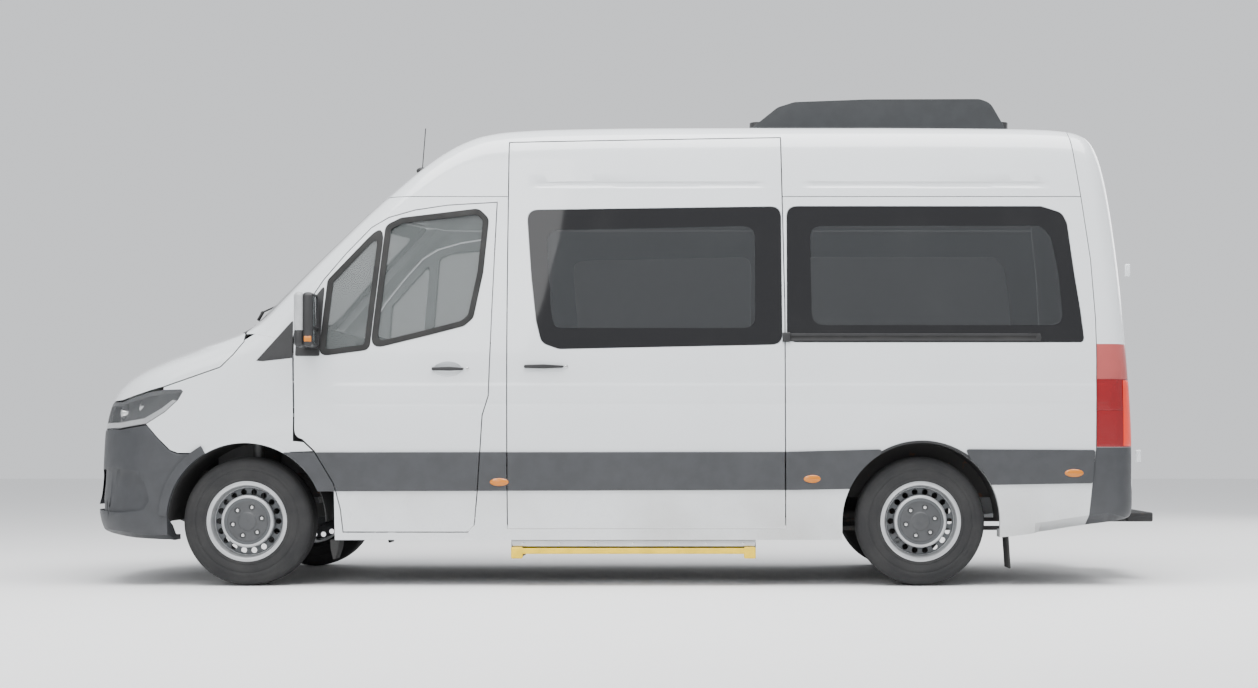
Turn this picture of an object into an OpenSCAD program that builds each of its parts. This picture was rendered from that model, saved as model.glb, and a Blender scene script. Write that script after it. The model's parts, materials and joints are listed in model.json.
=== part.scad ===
// High-roof minibus with a side step, roof air conditioner, twin rear doors and a rear step.
// Millimetres. +X points to the rear, +Z up, the left side is at -Y. The ground is at Z = 0.

/* [Overall] */
// Distance between the front and rear axles
wheelbase = 3665; // [3050:5:4400]
// Width over the body sides, without mirrors
body_w = 2020; // [1850:10:2400]
// Height of the roof's shoulder above the ground
roof_h = 2536; // [2250:2:3050]

/* [Wheels] */
// Outer radius of a tyre
tyre_r = 352; // [300:1:420]
// Section width of a tyre
tyre_w = 235; // [200:1:280]
// Distance of each wheel's middle plane from the vehicle's middle
half_track = 855; // [840:1:880]
// Gap between a tyre and its wheel arch
arch_gap = 76; // [66:1:100]
// Radius of the stub axles that carry the wheels
spindle_r = 30; // [25:1:36]

/* [Panels] */
// Thickness of doors, side walls and roof
wall_t = 45; // [38:1:54]
// Thickness of a door's outer edge flange
flange_t = 12; // [10:1:14]
// Thickness of the bonnet and bumper skins
skin_t = 20; // [16:1:24]
// Thickness of the front wings
wing_t = 4; // [3:0.5:5]
// Thickness of the glass
glass_t = 6; // [5:0.5:8]
// Shut gap between neighbouring panels
shut_gap = 6; // [5:0.5:8]

/* [Hinges] */
// Radius of the hinge pins
pin_r = 8; // [7:0.5:10]
// Clearance round each hinge pin
pin_gap = 0.4; // [0.3:0.1:0.6]

/* [Steps] */
// Length of the side step below the sliding door
side_step_l = 1290; // [1050:10:1400]
// Reach of the rear step behind the rear bumper
rear_step_reach = 160; // [130:5:200]

/* [Hidden] */
$fn = 48;
fit = 0.3;        // gap at a seat between two pieces
seam = 0.5;       // joint between two fixed panels
far = 3000;       // reach of a cutter past the body
axle_z = tyre_r;  // the axles' height

// The lengthwise and upward stretch of the nominal shape
cab_end = 1420;
tail_start = 3000;
nominal_base = 3665;
nominal_roof = 2536;
waist = 1100;
function sx(u) = u + (wheelbase - nominal_base) * max(0, min(1, (u - cab_end) / (tail_start - cab_end)));
function sz(z) = z <= waist ? z : waist + (z - waist) * (roof_h - waist) / (nominal_roof - waist);
function place(p) = [for (q = p) [sx(q[0]), sz(q[1])]];
width_k = body_w / 2020;

// Rows from nose to tail: [x behind the front axle, underside, top, crown, bow, edge radius]
ROWS = [
    [-998, 392, 440, 2, 230, 30], [-980, 322, 560, 2, 230, 50], [-950, 290, 925, 6, 230, 65],
    [-925, 280, 1000, 10, 230, 75], [-885, 270, 1062, 16, 228, 85], [-820, 258, 1124, 22, 225, 90],
    [-740, 250, 1172, 28, 220, 95], [-600, 246, 1233, 34, 212, 100], [-440, 244, 1290, 36, 206, 100],
    [-190, 249, 1382, 28, 206, 85], [-130, 250, 1424, 20, 220, 75], [-33, 251, 1527, 14, 236, 70],
    [327, 252, 1888, 12, 240, 70], [507, 252, 2056, 13, 236, 74], [690, 252, 2208, 18, 222, 84],
    [810, 252, 2296, 24, 200, 96], [940, 252, 2376, 32, 165, 110], [1080, 252, 2441, 38, 115, 125],
    [1230, 252, 2487, 42, 60, 138], [1400, 252, 2514, 45, 18, 148], [1850, 252, 2534, 45, 0, 150],
    [3950, 252, 2534, 45, 0, 150], [4330, 292, 2526, 44, -12, 148],
    [4510, 318, 2512, 40, -30, 140],
    [4610, 332, 2482, 34, -42, 122], [4690, 340, 2380, 22, -55, 100],
    [4771, 350, 1990, 10, -60, 80], [4838, 364, 1340, 6, -60, 60],
    [4876, 410, 640, 2, -60, 30],
];
body_rows = [for (r = ROWS) [sx(r[0]), r[1], sz(r[2]), r[3], r[4], r[5]]];
last = len(ROWS) - 1;
// Half width of the body against height
FLANK = [[240, 978], [420, 995], [620, 1005], [900, 1010], [1150, 1004], [1400, 986],
    [1700, 953], [2000, 912], [2300, 868], [2536, 830]];
flank = [for (f = FLANK) [sz(f[0]), f[1] * width_k]];
nose_r = 220;    // corner radius of the nose in plan
tail_r = 110;    // corner radius of the tail in plan
nose_top = [for (j = [0:8]) [body_rows[j][2], body_rows[j][0]]];
nose_low = [for (j = [8:-1:0]) [body_rows[j][1], body_rows[j][0]]];
tail_top = [for (j = [last:-1:22]) [body_rows[j][2], body_rows[j][0]]];
tail_low = [for (j = [22:last]) [body_rows[j][1], body_rows[j][0]]];
function nose_x(z) = z > body_rows[0][2] ? lookup(z, nose_top) : lookup(z, nose_low);
function tail_x(z) = z > body_rows[last][2] ? lookup(z, tail_top) : lookup(z, tail_low);
function rounding(r, d) = d >= r ? 0 : r - sqrt(max(0, r * r - pow(r - max(0, d), 2)));
function slope(j) = let (a = body_rows[max(j - 1, 0)], b = body_rows[min(j + 1, last)])
    (b[2] - a[2]) / (b[0] - a[0]);
function level(j) = 1 / sqrt(1 + pow(slope(j), 2));
function half_w(j, z) = let (r = body_rows[j])
    lookup(z, flank) - max(rounding(r[5], (r[2] - z) * level(j)), rounding(nose_r, r[0] - nose_x(z)),
        rounding(tail_r, tail_x(z) - r[0]));

// One row's half outline from the middle of the underside round to the middle of the top
top_n = 3;
side_n = 7;
corner_n = 4;
function side_levels(j) = let (r = body_rows[j], low = r[1],
        shoulder = max(low + 0.3 * (r[2] - low), r[2] - r[5] / level(j)))
    concat([for (k = [0:side_n - 1]) low + (shoulder - low) * k / side_n],
        [for (k = [0:corner_n]) shoulder + (r[2] - shoulder) * sin(90 * k / corner_n)]);
function half_row(j) = let (r = body_rows[j], levels = side_levels(j),
        low_w = half_w(j, r[1]), top_w = half_w(j, r[2]))
    concat([for (k = [0:top_n - 1]) [low_w * k / top_n, r[1]]],
        [for (z = levels) [half_w(j, z), z]],
        [for (k = [1:top_n]) let (y = top_w * (1 - k / top_n))
            [y, r[2] + r[3] * (1 - pow(y / top_w, 2))]]);
function full_row(j) = let (h = half_row(j), n = len(h), r = body_rows[j])
    [for (k = [0:2 * n - 3]) let (q = k < n ? h[k] : [-h[2 * n - 2 - k][0], h[2 * n - 2 - k][1]])
        [r[0] + r[4] * pow(q[0] / 1000, 2), q[0], q[1]]];
surface = [for (j = [0:last]) full_row(j)];
ring_n = len(surface[0]);
function point(j, i) = surface[max(0, min(last, j))][(i + ring_n) % ring_n];
function unit(v) = v / max(norm(v), 1e-9);
function outward(j, i) = unit(cross(point(j, i + 1) - point(j, i - 1), point(j + 1, i) - point(j - 1, i)));
function inset(d) = [for (j = [0:last]) for (i = [0:ring_n - 1])
    point(j, i) - d * outward(j, i) + [j == 0 ? 0.7 * d : j == last ? -0.7 * d : 0, 0, 0]];
half_n = ring_n / 2;

// The whole body as one solid, its surface moved inwards by d
module skin(d = 0) {
    walls = [for (j = [0:last - 1]) for (i = [0:ring_n - 1]) let (k = (i + 1) % ring_n)
        [j * ring_n + i, j * ring_n + k, (j + 1) * ring_n + k, (j + 1) * ring_n + i]];
    caps = [for (j = [0, last]) let (b = j * ring_n)
        for (i = [0:half_n - 1]) let (m = ring_n - i, q = [b + i, b + i + 1, b + m - 1, b + (m % ring_n)])
            j == 0 ? [q[3], q[2], q[1], q[0]] : q];
    polyhedron(points = inset(d), faces = [for (f = concat(walls, caps)) for (t = [0, 1])
        if (len(search([f[0]], [f[t + 1], f[t + 2]])) == 1) [f[0], f[t + 2], f[t + 1]]], convexity = 8);
}
module shell(d0, d1) {
    difference() {
        skin(d0);
        skin(d1);
    }
}
// Keeps sheet pieces whole as one faceted surface
module formed() {
    $fn = 20;
    resize([0, 0, 0]) children();
}
// A side-view outline carried across the body from y0 to y1
module across(y0, y1) { translate([0, y1, 0]) rotate([90, 0, 0]) linear_extrude(y1 - y0) children(); }
// A front-view outline, y against z, carried from x0 to x1
module along(x0, x1) {
    translate([x0, 0, 0]) rotate([90, 0, 90]) linear_extrude(x1 - x0) children();
}
module on_side(side, inner = 500) {
    across(side > 0 ? inner : -1300, side > 0 ? 1300 : -inner) children();
}
module box(lo, hi) { translate(lo) cube(hi - lo); }
module rod(r, a, b) {
    v = b - a;
    translate(a) rotate([0, acos(v[2] / norm(v)), atan2(v[1], v[0])]) cylinder(r = r, h = norm(v));
}
module rounded(r) { offset(r) offset(-r) children(); }

// Side-view outlines
DOOR = [[259, 1354], [260, 1246], [266, 960], [267, 850], [273, 822], [290, 806], [312, 797], [377, 735],
    [482, 559], [515, 417], [527, 295],
    [1205, 295], [1240, 335], [1262, 560], [1285, 929], [1318, 1035], [1354, 2096], [1084, 2080], [907, 2053],
    [765, 2012], [669, 1955], [540, 1817], [419, 1670], [282, 1459]];
MAIN_PANE = [[705, 1330], [989, 1392], [1173, 1440], [1212, 1475], [1260, 1710], [1284, 1990], [1245, 2030],
    [838, 1982], [775, 1952]];
QUARTER_PANE = [[428, 1282], [645, 1316], [716, 1922], [466, 1655]];
SLIDER = [[1414, 2434], [1420, 315], [2930, 315], [2926, 1508], [2906, 2462]];
FRONT_PANE = [[1524, 2052], [1548, 1679], [1576, 1441], [1600, 1330], [1690, 1289], [2910, 1312],
    [2903, 2072]];
REAR_PANE = [[2938, 2073], [4330, 2073], [4440, 2030], [4490, 1710], [4522, 1400], [2938, 1390]];
FAR_PANE = [[1524, 2052], [1548, 1679], [1576, 1441], [1600, 1330], [1690, 1289], [2890, 1312], [2890, 2072]];
FRONT_CLEAR = [[1625, 1940], [1655, 1500], [1672, 1403], [2600, 1403], [2764, 1560], [2764, 1965]];
REAR_CLEAR = [[3064, 1965], [3073, 1419], [4400, 1419], [4375, 1700], [4340, 1900], [4290, 1965]];
TAIL_LINE = [[4494, 2700], [4494, 2488], [4546, 2132], [4590, 1781], [4610, 1459], [4613, 1317], [4610, 753],
    [4575, 383], [4570, 0]];
BONNET_LINE = [[-1150, 1008], [-760, 1008], [-690, 1014], [-514, 1066], [-440, 1086], [-136, 1193],
    [-67, 1262], [-15, 1330], [-15, 1600], [-1150, 1600]];
LAMP = [[-760, 846], [-686, 858], [-534, 881], [-432, 946], [-362, 1011], [-335, 1058], [-346, 1069],
    [-440, 1066], [-514, 1055], [-690, 1002], [-1150, 996], [-1150, 846]];
BUMPER_LINE = [[-1150, 840], [-762, 840], [-686, 852], [-534, 875], [-470, 800], [-405, 735], [-362, 719],
    [0, 719], [0, 0], [-1150, 0]];
WING = [[-534, 881], [-470, 806], [-405, 741], [-362, 725], [100, 725], [377, 735], [322, 783], [262, 789],
    [260, 1246], [259, 1354], [198, 1343], [45, 1372], [-22, 1330], [-67, 1255], [-136, 1187], [-440, 1080],
    [-440, 1066], [-346, 1069], [-335, 1058], [-362, 1011], [-432, 946]];
roof_joint = sz(2130);
flap_y = 940;     // outer edge of the mud flaps
grille_w = 545 * width_k;
grille_z = [694, 1000];
arch_r = tyre_r + arch_gap;

module outline(points, grow = 0) { offset(delta = grow) polygon(place(points)); }
module arches(grow = 0) {
    for (x = [0, wheelbase]) translate([x, axle_z]) circle(arch_r + grow, $fn = 44);
    translate([-arch_r - grow, 0]) square([2 * (arch_r + grow), axle_z]);
    translate([wheelbase - arch_r - grow, 0]) square([2 * (arch_r + grow), axle_z - 80]);
}
windscreen_low = 1452;
windscreen_top = 2128;
module windscreen_view(grow = 0) {
    offset(delta = grow) rounded(60) polygon([for (p = [[-868, windscreen_low], [868, windscreen_low],
        [752, windscreen_top], [-752, windscreen_top]]) [p[0] * width_k, sz(p[1])]]);
}
tail_door_z = [560, 2290];
tail_door_w = [886, 748];
module tail_doors_view(grow = 0) {
    offset(delta = grow) rounded(50) polygon([for (p = [[-tail_door_w[0], tail_door_z[0]],
        [tail_door_w[0], tail_door_z[0]], [838, 1700], [tail_door_w[1], tail_door_z[1]],
        [-tail_door_w[1], tail_door_z[1]], [-838, 1700]]) [p[0] * width_k, sz(p[1])]]);
}
module tail_pane_view(side, grow = 0) {
    offset(delta = grow) rounded(50) polygon([for (p = [[150, 1380], [742, 1380], [700, 2010], [150, 2010]])
        [side * p[0] * width_k, sz(p[1])]]);
}
module tail_half(side) {
    y0 = side > 0 ? shut_gap / 2 : -1300;
    intersection() {
        children();
        translate([y0, 0]) square([1300 - shut_gap / 2, far]);
    }
}
rear_x = body_rows[last][0];
tail_cut = sx(4400);

// A recess in the outer face for a bonded pane
module rebate(side) {
    difference() {
        on_side(side) children();
        skin(glass_t + fit);
    }
}
module pane() {
    formed() intersection() {
        shell(0.5, glass_t);
        children();
    }
}
// A panel with a thin outer flange all round and a thick core inside it
module flanged_panel() {
    intersection() {
        shell(0, flange_t);
        children(0);
    }
    intersection() {
        shell(0, wall_t);
        children(1);
    }
}

// Everything is drawn about the front axle and moved so that the middle of the length is at X = 0
length_mid = (rear_x + rear_step_reach + ROWS[0][0]) / 2;
module placed() { translate([-length_mid, 0, 0]) children(); }

// Hinges: the front doors' axes stand inside the door, the rear doors' lean with the tail
front_axis = [292, 981 * width_k];
front_hinge_z = [930, 1250];
leaf_h = 26;
tail_axis_low = [sx(4862), 892 * width_k, 707];
tail_axis_top = [sx(4803), 892 * width_k, sz(1724)];
knuckle_h = 70;
ear_h = 22;
knuckle_out = 14;

module side_box(side, x, y, z) {
    ys = [side * y[0], side * y[1]];
    box([x[0], min(ys), z[0]], [x[1], max(ys), z[1]]);
}
module hinge_pins(side) {
    y = front_axis[1];
    for (z = front_hinge_z) {
        translate([front_axis[0], side * y, z - 50]) cylinder(r = pin_r, h = 100);
        side_box(side, [front_axis[0] - 9, front_axis[0] + 9], [post_y[0] * width_k, y], [z - 12, z + 12]);
        side_box(side, [front_axis[0] - 16, front_axis[0] + 16], [post_y[0] * width_k, y - 32],
            [z - 12, z + 12]);
    }
}
module hinge_cuts(side) {
    y = front_axis[1];
    for (z = front_hinge_z) {
        translate([front_axis[0], side * y, z - 51]) cylinder(r = pin_r + pin_gap, h = 102);
        side_box(side, [0, front_axis[0] + 21], [y - 180, y + 12], [z - 17, z + 17]);
    }
}
post_y = [880, 925];
module hinge_post(side) {
    post = [[215, 1400], [345, 1400], [345, 880], [600, 600], [640, 262], [438, 262], [438, 500], [215, 760]];
    y = [side * post_y[0] * width_k, side * post_y[1] * width_k];
    difference() {
        across(min(y), max(y)) polygon(place(post));
        on_side(side) arches(10);
    }
    side_box(side, [205, 252], [post_y[0] * width_k, 968 * width_k], [sz(1377), sz(1400)]);
}

function tail_point(side, t) = let (p = tail_axis_low + t * (tail_axis_top - tail_axis_low))
    [p[0], side * p[1], p[2]];
tail_l = norm(tail_axis_top - tail_axis_low);
module at_tail_hinges(side) {
    lean = atan2(tail_axis_top[0] - tail_axis_low[0], tail_axis_top[2] - tail_axis_low[2]);
    for (t = [0, 1]) translate(tail_point(side, t)) rotate([0, lean, 0]) children();
}
module tail_hinge_fixed(side) {
    at_tail_hinges(side) {
        translate([0, 0, -knuckle_h / 2 - ear_h]) cylinder(r = pin_r, h = knuckle_h + 2 * ear_h, $fn = 16);
        for (z = [-knuckle_h / 2 - ear_h, knuckle_h / 2])
            translate([-70, side > 0 ? -6 : -knuckle_out - 2, z])
                cube([70 + knuckle_out, knuckle_out + 8, ear_h]);
    }
}
module tail_hinge_moving(side) {
    at_tail_hinges(side) translate([0, 0, 1 - knuckle_h / 2]) {
        cylinder(r = knuckle_out, h = knuckle_h - 2, $fn = 16);
        translate([-24, side > 0 ? -66 : 0, 0]) cube([16, 66, knuckle_h - 2]);
        translate([-50, side > 0 ? -96 : 64, 0]) cube([42, 32, knuckle_h - 2]);
    }
}
module tail_hinge_bore(side) {
    at_tail_hinges(side) translate([0, 0, -knuckle_h])
        cylinder(r = pin_r + pin_gap, h = 2 * knuckle_h, $fn = 16);
}

// Side frames: windscreen pillar, door openings, sill and rear quarter
module body_side(side) {
    formed() union() {
        difference() {
            shell(0, wall_t);
            box([-far, -500, 0], [2 * far, 500, far]);
            box([-far, -860 * width_k, 0], [2 * far, 860 * width_k, 450]);
            box([-far, side > 0 ? -far : 0, 0], [2 * far, side > 0 ? 0 : far, far]);
            across(-1300, 1300) outline([[-1200, 0], [482, 0], [482, 559], [377, 735], [285, 842],
                [266, 960], [260, 1246], [259, 1354], [198, 1343], [45, 1372], [-60, 1372], [-1200, 1372]]);
            box([-far, -far, roof_joint - seam], [2 * far, far, 2 * far]);
            tail_side();
            on_side(side) outline(DOOR, shut_gap / 2);
            along(-400, 1200) windscreen_view(fit);
            box([-far, -far, 0], [-8, far, sz(1440)]);
            box([-far, -850 * width_k - fit, 0], [400, 850 * width_k + fit, sz(windscreen_low)]);
            side_box(side, [wheelbase + 450, wheelbase + 495], [700, flap_y + fit], [0, floor_z[0]]);
            on_side(side) arches();
            if (side < 0) {
                on_side(side) outline(SLIDER, shut_gap / 2);
            } else {
                rebate(side) rounded(60) outline(FAR_PANE, fit);
                on_side(side) rounded(60) outline(FRONT_CLEAR);
            }
            rebate(side) rounded(60) outline(REAR_PANE, fit);
            on_side(side) rounded(60) outline(REAR_CLEAR);
        }
        hinge_post(side);
        hinge_pins(side);
    }
}

module roof() {
    color("gainsboro") placed() formed() difference() {
        shell(0, wall_t);
        box([-far, -far, -1], [2 * far, far, roof_joint]);
        along(-400, 1200) windscreen_view(fit);
        on_side(-1) outline(SLIDER, shut_gap / 2);
        tail_side();
    }
}
// Everything behind the joint between the body sides and the tail frame
module tail_side() {
    across(-1300, 1300) polygon(concat([[sx(5200), 0], [sx(5200), far]],
        [for (p = TAIL_LINE) [sx(p[0]), sz(p[1])]]));
}
frame_w = 45;     // width of the frame round the rear doors
lamp_z = [757, sz(1316)];
module tail_lamp_space(grow = 0) {
    difference() {
        box([tail_cut, -far, lamp_z[0] - grow], [2 * far, far, lamp_z[1] + grow]);
        skin(skin_t + 5 + grow);
        along(tail_cut, rear_x + 300) tail_doors_view(frame_w - grow);
    }
}
module tail_low_space(grow = 0) {
    difference() {
        box([tail_cut, -far, 0], [2 * far, far, lamp_z[0] - seam - 1 + grow]);
        along(tail_cut, rear_x + 300) tail_doors_view(frame_w - grow);
    }
}
module rear_frame() {
    color("gainsboro") placed() formed() union() {
        difference() {
            intersection() {
                shell(0, wall_t);
                translate([seam, 0, 0]) tail_side();
            }
            along(tail_cut, rear_x + 300) tail_doors_view(shut_gap / 2);
            tail_lamp_space(0.9);
            tail_lamp_shape();
            tail_low_space(fit);
        }
        for (side = [-1, 1]) tail_hinge_fixed(side);
    }
}
module tail_lamp_shape() {
    intersection() {
        shell(0, skin_t + 5);
        translate([seam, 0, 0]) tail_side();
        tail_lamp_space();
    }
}
module tail_lamps() { color("firebrick") placed() formed() tail_lamp_shape(); }
module rear_bumper() {
    color("dimgray") placed() formed() difference() {
        intersection() {
            shell(0, wall_t);
            translate([seam, 0, 0]) tail_side();
            tail_low_space();
        }
        box([0, -860 * width_k, 0], [rear_x - 75, 860 * width_k, 500]);
    }
}

module wing(side) {
    formed() intersection() {
        shell(0, wing_t);
        difference() {
            on_side(side, 300) difference() {
                outline(WING, -seam);
                outline(BONNET_LINE, shut_gap);
                outline(DOOR, shut_gap);
            }
            on_side(side, 200) arches();
        }
    }
}
// Region ahead of the line where row u crosses the body
module ahead_of(u, bow) {
    translate([0, 0, -1]) linear_extrude(far) polygon(concat([[-far, 1300], [-far, -1300]],
        [for (y = [-1300:100:1300]) [u + bow * pow(y / 1000, 2), y]]));
}
cowl_u = -190;
cowl_bow = 206;
bonnet_axis = [-8, 1388];
bonnet_arm_y = 700;
arm_w = 16;
module arm_shape() {
    polygon([[-190, 1335], [-190, 1362], [-120, 1382], [-60, 1398], [-8, 1404], [8, 1388], [-8, 1372],
        [-60, 1356], [-120, 1340]]);
}
module bonnet() {
    color("gainsboro") placed() formed() difference() {
        union() {
            intersection() {
                shell(0, 5);
                across(-1300, 1300) outline(BONNET_LINE, 0);
                ahead_of(cowl_u - shut_gap, cowl_bow);
            }
            intersection() {
                shell(0, skin_t);
                across(-1300, 1300) outline(BONNET_LINE, -14);
                ahead_of(cowl_u - shut_gap - 18, cowl_bow);
            }
            intersection() {
                for (s = [-1, 1])
                    translate([0, s * bonnet_arm_y - arm_w / 2, 0]) across(0, arm_w) arm_shape();
                skin(1);
            }
        }
        translate([bonnet_axis[0], 0, bonnet_axis[1]]) rotate([90, 0, 0])
            cylinder(r = pin_r + pin_gap, h = 1600, center = true);
    }
}
// Cowl below the windscreen, with the beam that carries it and the bonnet's hinge pins
module behind_bonnet() {
    difference() {
        box([-400, -850 * width_k, 1290 + fit], [400, 850 * width_k, sz(windscreen_low) - fit]);
        ahead_of(cowl_u + 3, cowl_bow);
    }
}
module scuttle() {
    color("dimgray") placed() formed() union() {
        difference() {
            intersection() {
                shell(2, skin_t);
                behind_bonnet();
            }
            for (s = [-1, 1])
                box([-400, s * bonnet_arm_y - 14, 1290], [0, s * bonnet_arm_y + 14, 1500]);
        }
        intersection() {
            for (y = [-600, -300, 0, 300, 600]) box([-400, y - 5, 1355], [110, y + 5, 1500]);
            skin(8);
            behind_bonnet();
        }
        box([60, -800 * width_k, 1290 + fit], [110, 800 * width_k, 1400]);
        for (s = [-1, 1]) {
            translate([bonnet_axis[0], s * bonnet_arm_y, bonnet_axis[1]]) rotate([90, 0, 0])
                cylinder(r = pin_r, h = 90, center = true);
            for (e = [-1, 1]) translate([0, s * bonnet_arm_y + e * 34, 0])
                box([bonnet_axis[0] - 14, -8, bonnet_axis[1] - 20], [80, 8, bonnet_axis[1] + 20]);
        }
    }
}
module windscreen() {
    color("lightslategray", 0.6) placed() formed() intersection() {
        shell(0.5, glass_t);
        along(-400, 1200) windscreen_view();
    }
}
module headlamps() {
    color("whitesmoke") placed() formed() intersection() {
        shell(0, skin_t);
        difference() {
            across(-1300, 1300) difference() {
                outline(LAMP, -seam);
                outline(BONNET_LINE, shut_gap);
            }
            box([-far, -grille_w - seam, 0], [far, grille_w + seam, far]);
        }
    }
}
module grille() {
    color("silver") placed() formed() intersection() {
        shell(0, skin_t);
        box([-1150, -grille_w, grille_z[0]], [-400, grille_w, grille_z[1]]);
    }
}
module front_bumper() {
    color("dimgray") placed() formed() difference() {
        intersection() {
            shell(0, skin_t + 10);
            across(-1300, 1300) outline(BUMPER_LINE, -seam);
        }
        box([-1150, -grille_w - seam, grille_z[0] - seam], [-400, grille_w + seam, far]);
        box([-860, -720, 0], [0, 720, 420]);
        across(-1300, 1300) arches();
    }
}

module sliding_door() {
    color("gainsboro") placed() formed() difference() {
        union() {
            flanged_panel() {
                on_side(-1, 450) outline(SLIDER, -shut_gap / 2);
                on_side(-1, 450) outline(SLIDER, -shut_gap / 2 - 14);
            }
            slider_foot();
        }
        rebate(-1) rounded(60) outline(FRONT_PANE, fit);
        on_side(-1) rounded(60) outline(FRONT_CLEAR);
    }
}
module slider_foot() {
    box([sx(1700), -947 * width_k, 297.5], [sx(1800), -930 * width_k, 350]);
    box([sx(1700), -962 * width_k, 336], [sx(1800), -940 * width_k, 350]);
}
module side_windows() {
    color("darkslategray", 0.7) placed() {
        pane() on_side(-1) intersection() {
            rounded(60) outline(FRONT_PANE);
            outline(SLIDER, -shut_gap / 2);
        }
        pane() on_side(-1) rounded(60) outline(REAR_PANE);
        pane() on_side(1) rounded(60) outline(REAR_PANE);
        pane() on_side(1) rounded(60) outline(FAR_PANE);
    }
}
module front_door(side) {
    formed() difference() {
        flanged_panel() {
            on_side(side) outline(DOOR, -shut_gap / 2);
            on_side(side) outline(DOOR, -shut_gap / 2 - 14);
        }
        on_side(side) rounded(25) outline(MAIN_PANE, fit);
        on_side(side) rounded(15) outline(QUARTER_PANE, fit);
        hinge_cuts(side);
    }
}
module door_window(side) {
    formed() intersection() {
        shell(8, 8 + glass_t);
        union() {
            on_side(side) rounded(25) outline(MAIN_PANE);
            on_side(side) rounded(15) outline(QUARTER_PANE);
        }
    }
}
// Door mirror: an arm on the sail of the door and a tall housing
mirror_z = [1283, 1594];
module door_mirror(side) {
    formed() difference() {
        scale([1, side, 1]) union() {
            hull() {
                for (z = [mirror_z[0] + 40, mirror_z[1] - 40]) {
                    translate([330, body_w / 2 + 20, sz(z)]) sphere(34, $fn = 16);
                    translate([336, body_w / 2 + 146, sz(z) - 6]) sphere(34, $fn = 16);
                    translate([380, body_w / 2 + 25, sz(z)]) sphere(28, $fn = 16);
                    translate([390, body_w / 2 + 150, sz(z)]) sphere(28, $fn = 16);
                }
            }
            box([318, 930, sz(mirror_z[0]) + 12], [400, body_w / 2 + 40, sz(mirror_z[0]) + 62]);
        }
        skin(-fit);
    }
}
module tail_door(side) {
    formed() difference() {
        union() {
            flanged_panel() {
                along(tail_cut, rear_x + 300) tail_half(side) tail_doors_view(-shut_gap / 2);
                along(tail_cut, rear_x + 300) tail_half(side) tail_doors_view(-shut_gap / 2 - 12);
            }
            tail_hinge_moving(side);
        }
        difference() {
            along(tail_cut, rear_x + 300) tail_pane_view(side, fit);
            skin(glass_t + fit);
        }
        along(tail_cut, rear_x + 300) tail_pane_view(side, -45);
        tail_hinge_bore(side);
    }
}
module tail_pane(side) {
    pane() along(tail_cut, rear_x + 300) tail_pane_view(side);
}

// Floor with the rear wheel housings, the bulkhead and the two chassis rails
floor_z = [600, 640];
rail_y = [400, 470];
housing_r = arch_r + 6;
bulkhead_x = [345, 385];
module floor_pan() {
    color("gray") placed() formed() intersection() {
        union() {
            skin(wall_t + fit);
            intersection() {
                skin(skin_t + 10 + fit);
                box([-far, -rail_y[1] - 30, 0], [10, rail_y[1] + 30, 700]);
            }
        }
        difference() {
            union() {
                box([bulkhead_x[0], -far, floor_z[0]], [sx(4690), far, floor_z[1]]);
                box([bulkhead_x[0], -860 * width_k, floor_z[0]], [bulkhead_x[1], 860 * width_k, 1290]);
                for (s = [-1, 1]) {
                    side_box(s, [-1000, rear_x], rail_y, [470, floor_z[0] + 5]);
                    across(s > 0 ? 690 : -far, s > 0 ? far : -690)
                        translate([wheelbase, axle_z]) circle(housing_r + 14, $fn = 44);
                    side_box(s, [-60, 60], [rail_y[0] - 5, 740], [905, 945]);
                    side_box(s, [-60, 60], [rail_y[0] + 5, rail_y[1] - 5], [480, 940]);
                }
            }
            for (s = [-1, 1]) {
                across(s > 0 ? 704 : -far, s > 0 ? far : -704)
                    translate([wheelbase, axle_z]) circle(housing_r, $fn = 44);
                across(s > 0 ? 560 : -far, s > 0 ? far : -560)
                    translate([0, axle_z]) circle(arch_r + 12, $fn = 44);
                side_box(s, [wheelbase - 500, wheelbase + 500], [690, far], [0, 500]);
                translate([0, s * kingpin_y, 900]) cylinder(r = kingpin_r + pin_gap, h = 60);
                side_box(s, [bulkhead_x[0] - 1, 606], [post_y[0] * width_k - fit, far],
                    [floor_z[0] - 1, floor_z[1] + 1]);
            }
        }
    }
}

module air_conditioner() {
    w = 620;
    top = sz(2536);
    color("dimgray") placed() formed() difference() {
        hull() for (s = [-1, 1]) {
            for (x = [2747, 4194]) translate([sx(x), s * (w - 30), top]) cylinder(r = 30, h = 24, $fn = 16);
            for (p = [[2915, 96, 70], [3400, 60, 117], [4075, 60, 119]])
                translate([sx(p[0]), s * (w - 130), top + p[2]]) sphere(p[1], $fn = 24);
        }
        skin(-fit);
    }
}

dash = [[bulkhead_x[1] + fit, 900], [540, 905], [620, 980], [650, 1120], [610, 1250], [560, 1330],
    [470, 1400], [330, 1392], [130, 1322], [130, 1290 + fit], [bulkhead_x[1] + fit, 1290 + fit]];
module dash_block(grow = 0) { across(-820 * width_k, 820 * width_k) offset(delta = grow) polygon(dash); }
module dashboard() { color("dimgray") placed() dash_block(); }
wheel_c = [720, 380, 1270];
module steering_wheel() {
    color("dimgray") placed() difference() {
        translate(wheel_c) rotate([0, 32, 0]) {
            rotate_extrude() translate([195, 0]) circle(15);
            cylinder(r = 60, h = 24, center = true);
            for (a = [90, 210, 330]) rotate([0, 0, a]) translate([0, -16, -7]) cube([190, 32, 14]);
            translate([0, 0, -170]) cylinder(r = 26, h = 165);
        }
        translate([0, 380, 0]) across(-100, 100) offset(delta = fit) polygon(dash);
    }
}
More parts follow.
